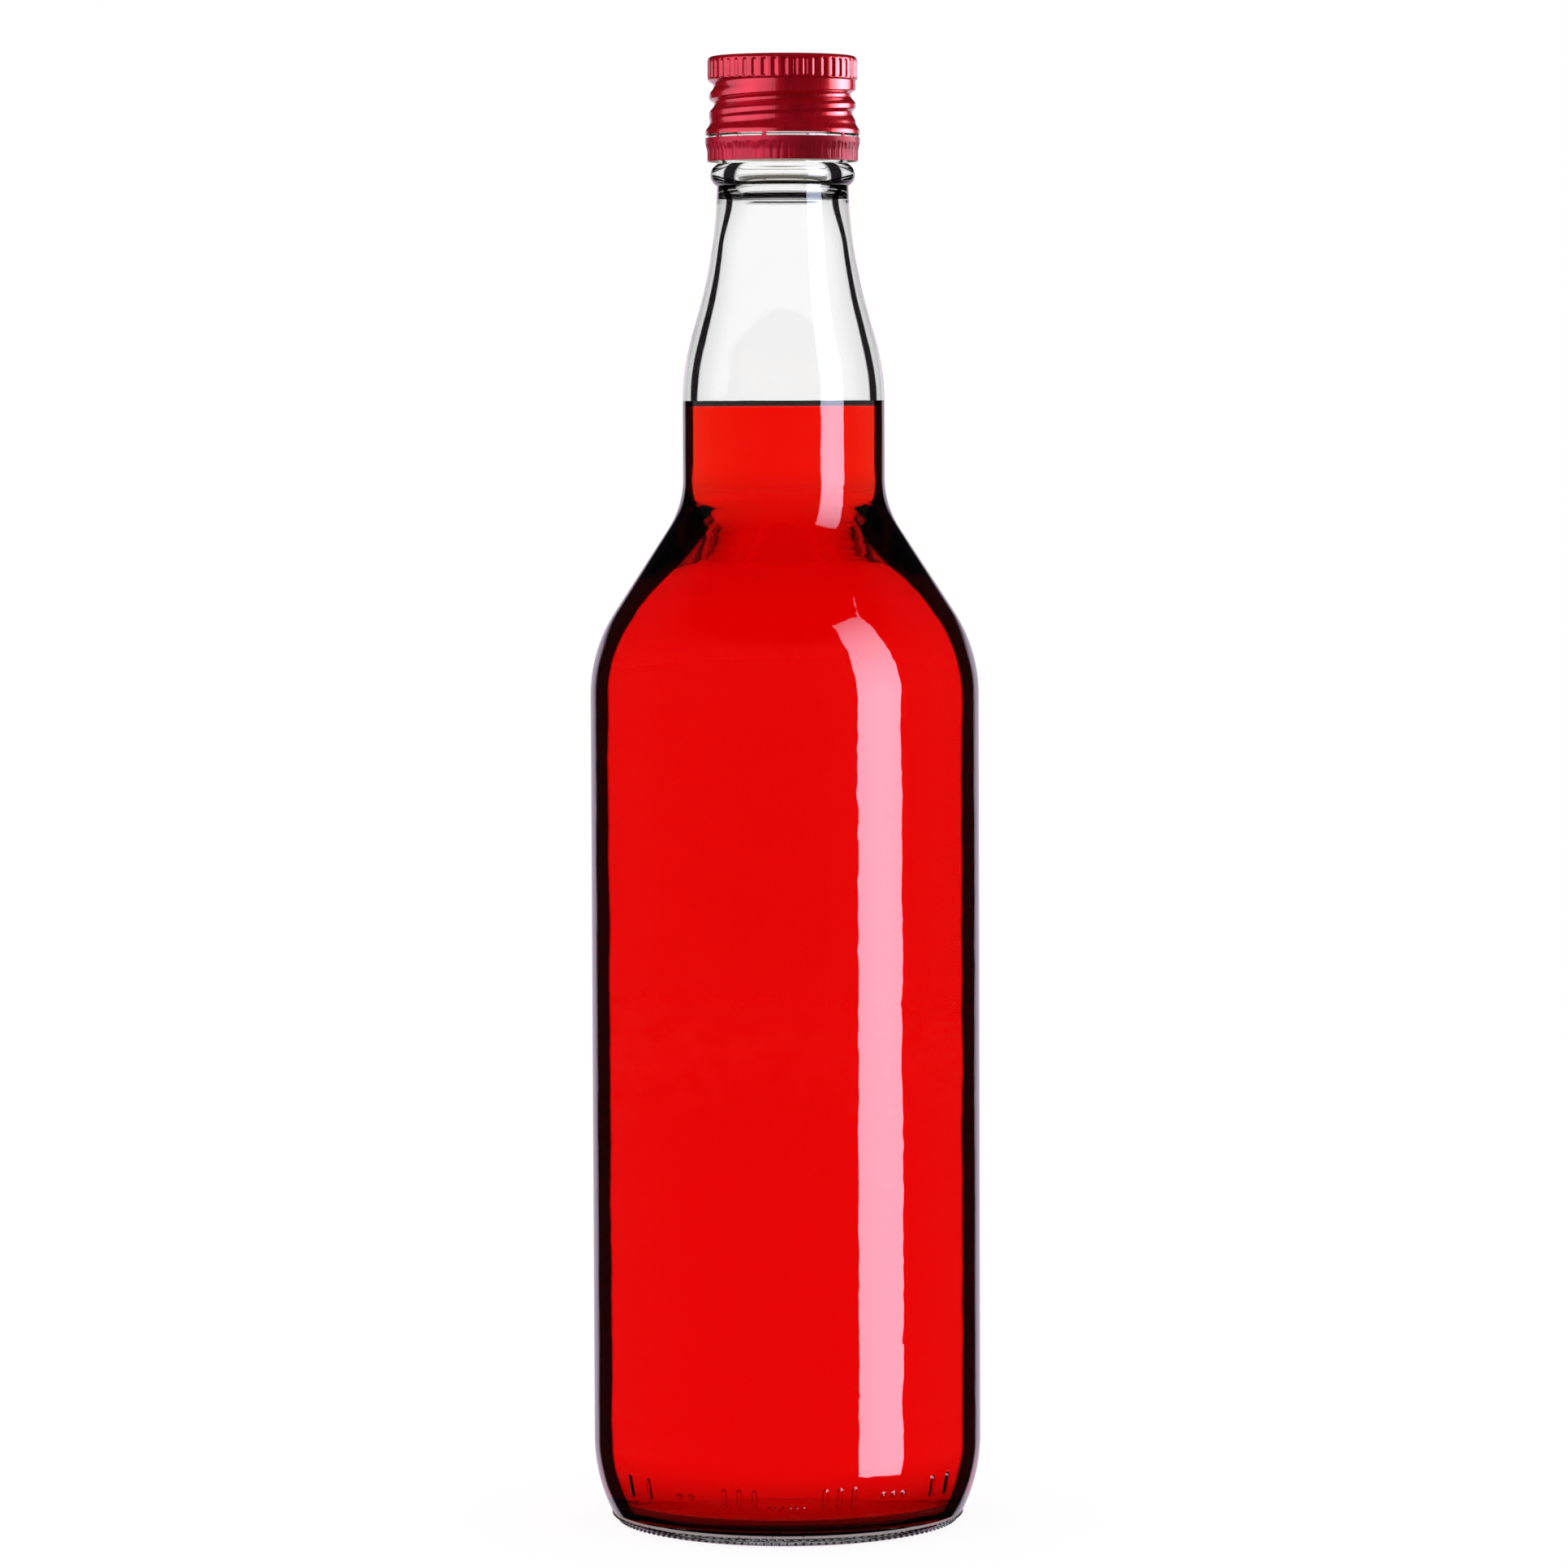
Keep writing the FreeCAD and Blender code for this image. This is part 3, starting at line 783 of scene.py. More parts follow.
class Recipe(Graph):
    """A Geometry Nodes tree with named sizes, which ends by realising and painting what it made."""

    LEAST_RADIUS = 1e-6

    def __init__(self, name: str, sizes: dict[str, float | int]) -> None:
        """Start a tree.

        Args:
            name: the tree's name.
            sizes: its named inputs and their values.
        """
        super().__init__(bpy.data.node_groups.new(name, "GeometryNodeTree"))
        self.sizes = sizes
        sockets = self.tree.interface
        sockets.new_socket("Geometry", in_out="INPUT", socket_type="NodeSocketGeometry")
        for label, value in sizes.items():
            kind = "NodeSocketInt" if isinstance(value, int) else "NodeSocketFloat"
            sockets.new_socket(label, in_out="INPUT", socket_type=kind)
        sockets.new_socket("Geometry", in_out="OUTPUT", socket_type="NodeSocketGeometry")
        self.entry = self.node("NodeGroupInput")
        self.geometry = self.entry.outputs["Geometry"]
        self.helpers: list[Object] = []

    def given(self, label: str, *words: str) -> list[Term]:
        """Give named sizes of a feature, by the words after its label."""
        return [Term(self.tree, self.entry.outputs[f"{label} {word}"]) for word in words]

    def position(self) -> tuple[Term, Term, Term]:
        """Give a point's coordinates."""
        return self.axes(self.node("GeometryNodeInputPosition").outputs[0])

    def radius(self) -> Term:
        """Give a point's distance from the upright axis, and never zero."""
        across, along, _ = self.position()
        return diagonal(across, along).at_least(self.LEAST_RADIUS)

    def turn(self) -> Term:
        """Give a point's place round the axis as a share of a turn, from 0 at +X."""
        across, along, _ = self.position()
        angle = along.angle_from(across) / math.tau
        return angle + (angle < 0.0)

    def outer(self) -> Term:
        """Give 1 on the outside of a wall and 0 elsewhere."""
        return self.term("GeometryNodeInputNamedAttribute", 0, {"data_type": "FLOAT"}, {"Name": "outer"})

    def push_out(self, distance: Term) -> None:
        """Move points away from the upright axis, or towards it where the distance is negative."""
        across, along, _ = self.position()
        share = distance / self.radius()
        offset = self.node("ShaderNodeCombineXYZ", inputs={0: across * share, 1: along * share, 2: 0.0})
        self.geometry = self.node("GeometryNodeSetPosition", inputs={
            "Geometry": self.geometry, "Offset": offset.outputs[0]}).outputs[0]

    def helix(self, label: str) -> None:
        """Roll or mould a right-hand thread into a wall.

        Args:
            label: first word of the sizes Depth, Pitch, Start, Land, Low, Top and Within, and of the turns
                at which the thread begins, is full, wanes and ends: Begin, Full, Wane and End.
        """
        depth, pitch, start, land, low, top, within, begin, full, wane, end = self.given(
            label, "Depth", "Pitch", "Start", "Land", "Low", "Top", "Within", "Begin", "Full", "Wane", "End")
        turn = self.turn()
        rise = (self.position()[2] - start) / pitch - turn
        lap = rise.nearest()
        aside = (rise - lap) * pitch
        travelled = lap + turn
        half = land * 0.5
        profile = aside.ramp(-half - low, -half) * (1.0 - aside.ramp(half, half + top))
        ends = travelled.ramp(begin, full) * (1.0 - travelled.ramp(wane, end))
        self.push_out(depth * profile * ends * (self.radius() > within))

    def flutes(self, label: str) -> None:
        """Press round-ended flutes into the outside of a rim.

        Args:
            label: first word of the sizes Count, Depth, Width, Radius, Low, Top and End.
        """
        count, depth, width, radius, low, top, end = self.given(
            label, "Count", "Depth", "Width", "Radius", "Low", "Top", "End")
        place = self.turn() * count
        aside = (place - place.nearest()).size() * (math.tau * radius / count)
        height = self.position()[2]
        hollow = 1.0 - aside.ramp(width * 0.1, width * 0.5)
        length = height.ramp(low - end, low + end) * (1.0 - height.ramp(top - end, top + end))
        self.push_out(-(depth * hollow * length * self.outer()))

    def ripple(self, label: str, mask: Term) -> None:
        """Let a wall wander a little.

        Args:
            label: first word of the sizes Depth, Cells, Stretch, Low, Top and Fade.
            mask: where the wall may move.
        """
        depth, cells, stretch, low, top, fade = self.given(
            label, "Depth", "Cells", "Stretch", "Low", "Top", "Fade")
        across, along, height = self.position()
        spot = self.node("ShaderNodeCombineXYZ", inputs={0: across, 1: along, 2: height * stretch})
        waves = self.term("ShaderNodeTexNoise", 0, inputs={
            "Vector": spot.outputs[0], "Scale": cells, "Detail": 1.0})
        within = height.ramp(low, low + fade) * (1.0 - height.ramp(top - fade, top))
        self.push_out((waves - 0.5) * depth * mask * within)

    def emboss(self, label: str, rows: tuple[MarkRow, ...]) -> None:
        """Raise rows of marks on the outside of a wall.

        Args:
            label: first word of the size Depth.
            rows: the marks.
        """
        raised = sum(row.relief(*self.position()) for row in rows)
        depth, = self.given(label, "Depth")
        self.push_out(depth * raised * self.outer())

    def ring_of(self, label: str, copy: Object) -> None:
        """Set copies of a small shape round the axis and join them to what is there.

        Args:
            label: first word of the sizes Count, First, Step, Radius and Height.
            copy: the shape, at the origin with its outer side towards +X. It is removed afterwards.
        """
        count, first, step, radius, height = self.given(label, "Count", "First", "Step", "Radius", "Height")
        line = self.node("GeometryNodeMeshLine", inputs={"Count": count})
        angle = first + self.term("GeometryNodeInputIndex", 0) * step
        spot = self.node("ShaderNodeCombineXYZ", inputs={
            0: radius * angle.cosine(), 1: radius * angle.sine(), 2: height})
        placed = self.node("GeometryNodeSetPosition", inputs={
            "Geometry": line.outputs[0], "Position": spot.outputs[0]})
        turned = self.node("ShaderNodeCombineXYZ", inputs={0: 0.0, 1: 0.0, 2: angle})
        shape = self.node("GeometryNodeObjectInfo", inputs={"Object": copy})
        copies = self.node("GeometryNodeInstanceOnPoints", inputs={
            "Points": placed.outputs[0], "Instance": shape.outputs["Geometry"],
            "Rotation": turned.outputs[0]})
        joined = self.node("GeometryNodeJoinGeometry", inputs={0: self.geometry})
        join(self.tree, copies.outputs[0], joined.inputs[0])
        self.geometry = joined.outputs[0]
        self.helpers.append(copy)

    def apply(self, piece: Object, paints: dict[Surface, Material]) -> None:
        """Run the tree on a piece and keep the result as its plain mesh.

        Args:
            piece: the object.
            paints: the material of each surface.
        """
        link = self.node("GeometryNodeRealizeInstances", inputs={"Geometry": self.geometry}).outputs[0]
        for surface, material in paints.items():
            named = self.node("GeometryNodeInputNamedAttribute", {"data_type": "INT"}, {"Name": "surface"})
            chosen = self.node("FunctionNodeCompare", {"data_type": "INT", "operation": "EQUAL"}, {
                2: named.outputs[0], 3: int(surface)})
            link = self.node("GeometryNodeSetMaterial", inputs={
                "Geometry": link, "Selection": chosen.outputs[0], "Material": material}).outputs[0]
        self.node("NodeGroupOutput", inputs={"Geometry": link})
        modifier = piece.modifiers.new(self.tree.name, "NODES")
        modifier.node_group = self.tree
        for item in self.tree.interface.items_tree:
            if item.in_out == "INPUT" and item.name in self.sizes:
                modifier[item.identifier] = self.sizes[item.name]
        plain = bpy.data.meshes.new_from_object(piece.evaluated_get(bpy.context.evaluated_depsgraph_get()))
        piece.modifiers.remove(modifier)
        piece.data = plain
        for name in ("surface", "outer"):
            if name in plain.attributes:
                plain.attributes.remove(plain.attributes[name])
        for helper in self.helpers:
            bpy.data.objects.remove(helper)
        shade(piece)


def named_sizes(label: str, **sizes: float | int) -> dict[str, float | int]:
    """Name the sizes of one feature of a tree, such as the depth of a thread."""
    return {f"{label} {word.capitalize()}": size for word, size in sizes.items()}


@dataclass
class GlassBottle:
    """The blown bottle: base, heel, body, shoulder, bulged neck and threaded finish in one wall."""

    body_radius: float = 37.5 * MM
    wall: float = 2.5 * MM
    heel_height: float = 16.5 * MM
    heel_sweep: float = 32.0 * MM
    heel_corner: float = 4.5 * MM
    bearing_width: float = 3.5 * MM
    pushup_depth: float = 3.0 * MM
    cavity_floor: float = 3.6 * MM
    floor_rise: float = 3.4 * MM
    cavity_corner: float = 9.0 * MM
    shoulder_round: float = 29.5 * MM
    shoulder_slope: float = 33.0
    shoulder_foot: float = 18.0 * MM
    neck_radius: float = 19.45 * MM
    bulge_length: float = 14.83 * MM
    neck_round: float = 42.0 * MM
    neck_slope: float = 15.6
    neck_foot: float = 95.0 * MM
    throat_radius: float = 12.6 * MM
    brim: float = 281.2 * MM
    brim_round: float = 0.8 * MM
    ring_drop: float = 20.7 * MM
    ring_height: float = 4.2 * MM
    ring_reach: float = 1.3 * MM
    lock_drop: float = 13.6 * MM
    lock_radius: float = 14.35 * MM
    lock_land: float = 1.2 * MM
    lock_flank_low: float = 1.7 * MM
    lock_flank_top: float = 1.3 * MM
    finish_radius: float = 12.5 * MM
    bore_radius: float = 9.2 * MM
    bore_length: float = 23.7 * MM
    bore_step: float = 2.0 * MM
    thread_radius: float = 13.6 * MM
    thread_pitch: float = 3.45 * MM
    thread_turns: float = 1.3
    thread_land: float = 0.44 * MM
    thread_drop: float = 7.38 * MM
    thread_flank_low: float = 0.45 * MM
    thread_flank_top: float = 1.2 * MM
    headspace: float = 65.2 * MM
    fill_gap: float = 0.05 * MM
    ripple: float = 0.22 * MM
    ripple_fade: float = 20.0 * MM
    stipple_top: float = 2.1 * MM
    scuff_height: float = 0.45 * MM
    grain_count: int = 140
    grain_radius: float = 0.38 * MM
    grain_turn: float = 35.0
    mark_height: float = 0.3 * MM
    mark_low: float = 7.0 * MM
    mark_top: float = 13.2 * MM
    mark_first: float = 212.0
    mark_last: float = 330.0
    mark_cuts: int = 5
    columns: int = 192

    MARKS = (
        MarkRow(2, 216.0, 8.5, 10.2 * MM, 1.3 * MM, 4.6 * MM),
        MarkRow(2, 236.0, 4.2, 9.6 * MM, 1.7 * MM, 1.7 * MM),
        MarkRow(3, 251.0, 4.6, 9.8 * MM, 1.3 * MM, 4.2 * MM),
        MarkRow(6, 264.5, 2.0, 8.2 * MM, 0.9 * MM, 0.9 * MM),
        MarkRow(3, 281.0, 4.4, 9.8 * MM, 1.3 * MM, 4.4 * MM),
        MarkRow(3, 299.5, 3.6, 9.8 * MM, 1.6 * MM, 1.6 * MM),
        MarkRow(2, 318.0, 7.0, 10.4 * MM, 1.3 * MM, 4.6 * MM),
    )

    def __post_init__(self) -> None:
        """Work out the places that the outlines share."""
        slope, neck = math.radians(self.shoulder_slope), math.radians(self.neck_slope)
        self.throat_z = self.brim - self.ring_drop
        throat_r = self.throat_radius + self.neck_foot * (1 - math.cos(neck))
        taper_r = self.neck_radius - self.neck_round * (1 - math.cos(neck))
        taper_z = self.throat_z - self.neck_foot * math.sin(neck) - (taper_r - throat_r) / math.tan(neck)
        self.bulge_z = taper_z - self.neck_round * math.sin(neck)
        self.neck_z = self.bulge_z - self.bulge_length
        foot_r = self.neck_radius + self.shoulder_foot * (1 - math.cos(slope))
        round_r = self.body_radius - self.shoulder_round * (1 - math.cos(slope))
        self.foot_z = self.neck_z - self.shoulder_foot * math.sin(slope)
        self.round_z = self.foot_z - (round_r - foot_r) / math.tan(slope)
        self.shoulder_z = self.round_z - self.shoulder_round * math.sin(slope)
        rise, reach = self.heel_height - self.heel_corner, self.heel_sweep - self.heel_corner
        self.bearing = self.body_radius - self.heel_sweep + math.sqrt(reach ** 2 - rise ** 2)
        self.heel_turn = -math.degrees(math.asin(rise / reach))
        self.level = self.brim - self.headspace

    def draw_outside(self) -> Outline:
        """Draw the outside from the middle of the base up to the brim."""
        skin, base = Surface.OUTSIDE, Surface.BASE
        inner_bearing = self.bearing - self.bearing_width
        dome = (inner_bearing ** 2 + self.pushup_depth ** 2) / (2 * self.pushup_depth)
        dome_turn = math.degrees(math.asin(inner_bearing / dome))
        outline = Outline(0.0, self.pushup_depth)
        outline.arc((0.0, self.pushup_depth - dome), dome, 90.0, 90.0 - dome_turn, base, 12)
        outline.line(self.bearing, 0.0, base, 2)
        outline.arc((self.bearing, self.heel_corner), self.heel_corner, -90.0, self.heel_turn, skin, 10)
        outline.arc((self.body_radius - self.heel_sweep, self.heel_height), self.heel_sweep,
                    self.heel_turn, 0.0, skin, 12)
        outline.line(self.body_radius, self.shoulder_z, skin, 30)
        outline.arc((self.body_radius - self.shoulder_round, self.shoulder_z), self.shoulder_round,
                    0.0, self.shoulder_slope, skin, 16)
        outline.arc((self.neck_radius + self.shoulder_foot, self.neck_z), self.shoulder_foot,
                    180.0 + self.shoulder_slope, 180.0, skin, 14)
        outline.line(self.neck_radius, self.bulge_z, skin, 4)
        outline.arc((self.neck_radius - self.neck_round, self.bulge_z), self.neck_round,
                    0.0, self.neck_slope, skin, 8)
        ring = ((self.ring_height / 2) ** 2 + self.ring_reach ** 2) / (2 * self.ring_reach)
        ring_turn = math.degrees(math.asin(self.ring_height / 2 / ring))
        throat_turn = math.degrees(math.asin(self.ring_height / 2 / self.neck_foot))
        outline.arc((self.throat_radius + self.neck_foot, self.throat_z), self.neck_foot,
                    180.0 + self.neck_slope, 180.0 + throat_turn, skin, 14)
        outline.arc((self.throat_radius + self.ring_reach - ring, self.throat_z), ring,
                    -ring_turn, ring_turn, skin, 16)
        lock_low = self.brim - self.lock_drop - self.lock_land / 2
        lock_top = lock_low + self.lock_land
        outline.line(self.finish_radius, lock_low - self.lock_flank_low, skin, 2, 0.3 * MM)
        outline.line(self.lock_radius, lock_low, skin, 3, 0.4 * MM)
        outline.line(self.lock_radius, lock_top, skin, 1, 0.4 * MM)
        outline.line(self.finish_radius, lock_top + self.lock_flank_top, skin, 3, 0.4 * MM)
        outline.line(self.finish_radius, self.brim - self.brim_round, skin, 64)
        outline.arc((self.finish_radius - self.brim_round, self.brim - self.brim_round), self.brim_round,
                    0.0, 90.0, skin, 6)
        return outline

    def draw_inside(self, outline: Outline) -> Outline:
        """Draw the brim, the bore and the neck's inner wall down to the edge of the liquid."""
        dry = Surface.INSIDE
        inner_foot = self.neck_foot + self.wall
        step_z = self.brim - self.bore_length - self.bore_step
        step_turn = math.degrees(math.asin((self.throat_z - step_z) / inner_foot))
        outline.line(self.bore_radius + self.brim_round, self.brim, dry, 2)
        outline.arc((self.bore_radius + self.brim_round, self.brim - self.brim_round), self.brim_round,
                    90.0, 180.0, dry, 6)
        outline.line(self.bore_radius, self.brim - self.bore_length, dry, 8, 0.8 * MM)
        outline.line(self.throat_radius + self.neck_foot - inner_foot * math.cos(math.radians(step_turn)),
                     step_z, dry, 1, 0.7 * MM)
        outline.arc((self.throat_radius + self.neck_foot, self.throat_z), inner_foot,
                    180.0 + step_turn + 1.0, 180.0 + self.neck_slope, dry, 12)
        outline.arc((self.neck_radius - self.neck_round, self.bulge_z), self.neck_round - self.wall,
                    self.neck_slope, 0.0, dry, 8)
        return outline

    def draw_wetted(self, outline: Outline, inset: float) -> Outline:
        """Draw the cavity from the edge of the liquid down to the middle of its floor.

        Args:
            outline: the outline so far, which ends on the wall at the edge of the liquid.
            inset: distance inside the glass's outer face.

        Returns:
            The outline itself.
        """
        wet = Surface.WETTED
        floor = self.cavity_floor + inset - self.wall
        corner = (self.body_radius - inset - self.cavity_corner, floor + self.cavity_corner)
        outline.line(self.neck_radius - inset, self.neck_z, wet, 8)
        outline.arc((self.neck_radius + self.shoulder_foot, self.neck_z), self.shoulder_foot + inset,
                    180.0, 180.0 + self.shoulder_slope, wet, 14)
        outline.arc((self.body_radius - self.shoulder_round, self.shoulder_z), self.shoulder_round - inset,
                    self.shoulder_slope, 0.0, wet, 16)
        outline.line(self.body_radius - inset, corner[1], wet, 48)
        outline.arc(corner, self.cavity_corner, 0.0, -90.0, wet, 14)
        dome = (corner[0] ** 2 + self.floor_rise ** 2) / (2 * self.floor_rise)
        dome_turn = math.degrees(math.asin(corner[0] / dome))
        outline.arc((0.0, floor + self.floor_rise - dome), dome, 90.0 - dome_turn, 90.0, wet, 12)
        outline.stretches[-1].radius = 0.0
        return outline

    def ripple_sizes(self) -> dict[str, float | int]:
        """Give the sizes of the inner wall's ripple, which glass and liquid share."""
        return named_sizes("Ripple", depth=self.ripple, cells=55.0, stretch=0.35, fade=self.ripple_fade,
                           low=self.cavity_floor + self.cavity_corner, top=self.neck_z)

    def build_stipple(self) -> Object:
        """Make one grain of the stippled ring that the bottle stands on."""
        mesh = bpy.data.meshes.new("stipple")
        with reshaped(mesh) as shape:
            bmesh.ops.create_icosphere(shape, subdivisions=1, radius=self.grain_radius)
        return add_object("stipple", mesh)

    def refine_heel(self, mesh: Mesh) -> None:
        """Give the front of the heel finer faces, as round as the heel is, for its marks to rise from."""
        edges: set[bmesh.types.BMEdge] = set()
        with reshaped(mesh) as shape:
            for face in shape.faces:
                spot = face.calc_center_median()
                turn = math.degrees(math.atan2(spot.y, spot.x)) % 360.0
                outer = spot.xy.length > self.body_radius - 0.8 * self.wall
                front = self.mark_first < turn < self.mark_last
                if outer and front and self.mark_low < spot.z < self.mark_top:
                    edges.update(face.edges)
            made = bmesh.ops.subdivide_edges(shape, edges=list(edges), cuts=self.mark_cuts,
                                             use_grid_fill=True)
            for vertex in made["geom_inner"]:
                if isinstance(vertex, bmesh.types.BMVert):
                    drop = self.heel_height - vertex.co.z
                    reach = self.body_radius - self.heel_sweep + math.sqrt(self.heel_sweep ** 2 - drop ** 2)
                    vertex.co.xy *= reach / vertex.co.xy.length

    def build(self) -> Object:
        """Make the glass with its thread, its rippled inner wall, its heel marks and its stippled foot.

        Returns:
            The finished piece.
        """
        outline = self.draw_wetted(self.draw_inside(self.draw_outside()), self.wall)
        piece = outline.spin("glass_wall", self.columns)
        self.refine_heel(piece.data)
        sizes = named_sizes(
            "Thread", depth=self.thread_radius - self.finish_radius, pitch=self.thread_pitch,
            start=self.brim - self.thread_drop, land=self.thread_land, low=self.thread_flank_low,
            top=self.thread_flank_top, within=self.finish_radius - 0.1 * MM,
            begin=-0.05, full=0.05, wane=self.thread_turns - 0.05, end=self.thread_turns + 0.05)
        sizes |= self.ripple_sizes() | named_sizes("Mark", depth=self.mark_height)
        grain_rows = {"Grain Low": (1.0, 0.0), "Grain Top": (1.5, 0.5)}
        grain_step = math.tau / self.grain_count
        for label, (row, offset) in grain_rows.items():
            turn = row * math.radians(self.grain_turn)
            sizes |= named_sizes(
                label, count=self.grain_count, first=offset * grain_step, step=grain_step,
                radius=self.bearing + self.heel_corner * math.sin(turn),
                height=self.heel_corner * (1 - math.cos(turn)))
        recipe = Recipe("glass_wall", sizes)
        recipe.helix("Thread")
        recipe.ripple("Ripple", 1.0 - recipe.outer())
        recipe.emboss("Mark", self.MARKS)
        for label in grain_rows:
            recipe.ring_of(label, self.build_stipple())
        recipe.apply(piece, self.dress())
        return piece

    def dress(self) -> dict[Surface, Material]:
        """Make the finishes of the glass's outside and of its dry and wetted inside."""
        ring_low, ring_top = self.throat_z - self.ring_height / 2, self.throat_z + self.ring_height / 2
        step_z = self.brim - self.bore_length - self.bore_step
        lock_z = self.brim - self.lock_drop
        # the frosted band above the stipple: partly real wear, partly a painted highlight line
        scuff_and_highlight = (self.stipple_top - 0.1 * MM, self.stipple_top + self.scuff_height)
        # painted shade, by height from the foot up: the stipple painted nearly dark all over, a thin clear
        # line, a painted black band on the heel, painted shade that thins out upwards from there, dark edges
        # on the body, a painted darker shoulder, and dark edges on the neck and finish, with a painted soft
        # halo inside those of the empty neck
        edges = (
            EdgeShade(0.58, least=0.96),
            EdgeShade(0.93, above=scuff_and_highlight[0], fade=0.1 * MM),
            EdgeShade(0.58, least=0.99, above=scuff_and_highlight[1], fade=0.1 * MM),
            EdgeShade(0.58, 0.8, rest=0.8, least=0.85, above=5.9 * MM, fade=0.25 * MM),
            EdgeShade(0.58, above=11.5 * MM, fade=5.5 * MM),
            EdgeShade(0.58, least=0.25, above=self.round_z - 3.6 * MM, fade=12.0 * MM),
            EdgeShade(0.555, above=self.neck_z, fade=3.0 * MM),
            EdgeShade(0.475, 0.615, rest=0.35, halo=0.3, above=self.bulge_z),
            EdgeShade(0.52, 0.66, rest=0.35, above=ring_top + 0.4 * MM, fade=0.2 * MM),
        )
        # where the painted dark edges widen, at the shoulder's foot and round the bore step, and where they
        # are narrowed almost away, at the locking ring
        lifts = (
            EdgeLift(0.23, self.round_z, self.foot_z, self.neck_z),
            EdgeLift(0.14, step_z - 9.0 * MM, step_z, ring_low),
            EdgeLift(-0.5, lock_z - 2.0 * MM, lock_z, lock_z + 2.0 * MM),
        )
        # painted dark bars and underside on the neck ring
        ring = RingShade(EdgeShade(0.23, 0.44, soft=0.03, rest=0.1), ring_low, ring_top, 0.62)
        outside = GlassFinish("flint_glass", 1.52, edges, lifts, ring, ripple=0.07 * MM, marks=self.MARKS,
                              scuff_and_highlight=scuff_and_highlight)
        # painted shade: the push-up is coloured dark maroon, standing in for the dark red that the base sees
        # through the liquid and the shade beneath the bottle
        base = GlassFinish("base_glass", 1.52, (EdgeShade(0.93),), clear=(0.10, 0.003, 0.006, 1.0))
        # painted shade: a dark bar painted on the bore step where it is seen head-on, in place of the dark
        # line that refraction gives there
        step = EdgeShade(-1.0, 0.3, soft=0.08, rest=0.1, above=step_z - 0.1 * MM, fade=0.45 * MM)
        bore = EdgeShade(0.93, above=step_z + 1.3 * MM, fade=0.05 * MM)
        dry = GlassFinish("dry_inner_wall", 1.52, (EdgeShade(0.93), step, bore), clear=CLEAR)
        wetted = GlassFinish("wetted_inner_wall", 1.52 / 1.36, (EdgeShade(0.93),))
        return {
            Surface.OUTSIDE: outside.material(),
            Surface.INSIDE: dry.material(),
            Surface.WETTED: wetted.material(),
            Surface.BASE: base.material(),
        }


@dataclass
class LiquidFill:
    """The red contents, with a meniscus that climbs the glass."""

    bottle: GlassBottle
    creep: float = 1.3 * MM
    surface_rows: int = 26
    columns: int = 192

    def build(self) -> Object:
        """Make the liquid."""
        bottle = self.bottle
        inset = bottle.wall + bottle.fill_gap
        edge = bottle.neck_radius - inset
        climb = bottle.bulge_z - bottle.level
        outline = Outline(0.0, bottle.level)
        for row in range(1, self.surface_rows + 1):
            radius = edge * (1 - (1 - row / self.surface_rows) ** 2)
            height = bottle.level + climb * math.exp((radius - edge) / self.creep)
            outline.line(radius, height, Surface.OUTSIDE)
        bottle.draw_wetted(outline, inset)
        piece = outline.spin("red_contents", self.columns)
        recipe = Recipe("red_contents", bottle.ripple_sizes())
        recipe.ripple("Ripple", 1.0 - recipe.outer())
        finish = LiquidFinish("red_liquid", 1.36, bottle.level).material()
        recipe.apply(piece, {Surface.OUTSIDE: finish, Surface.WETTED: finish})
        return piece


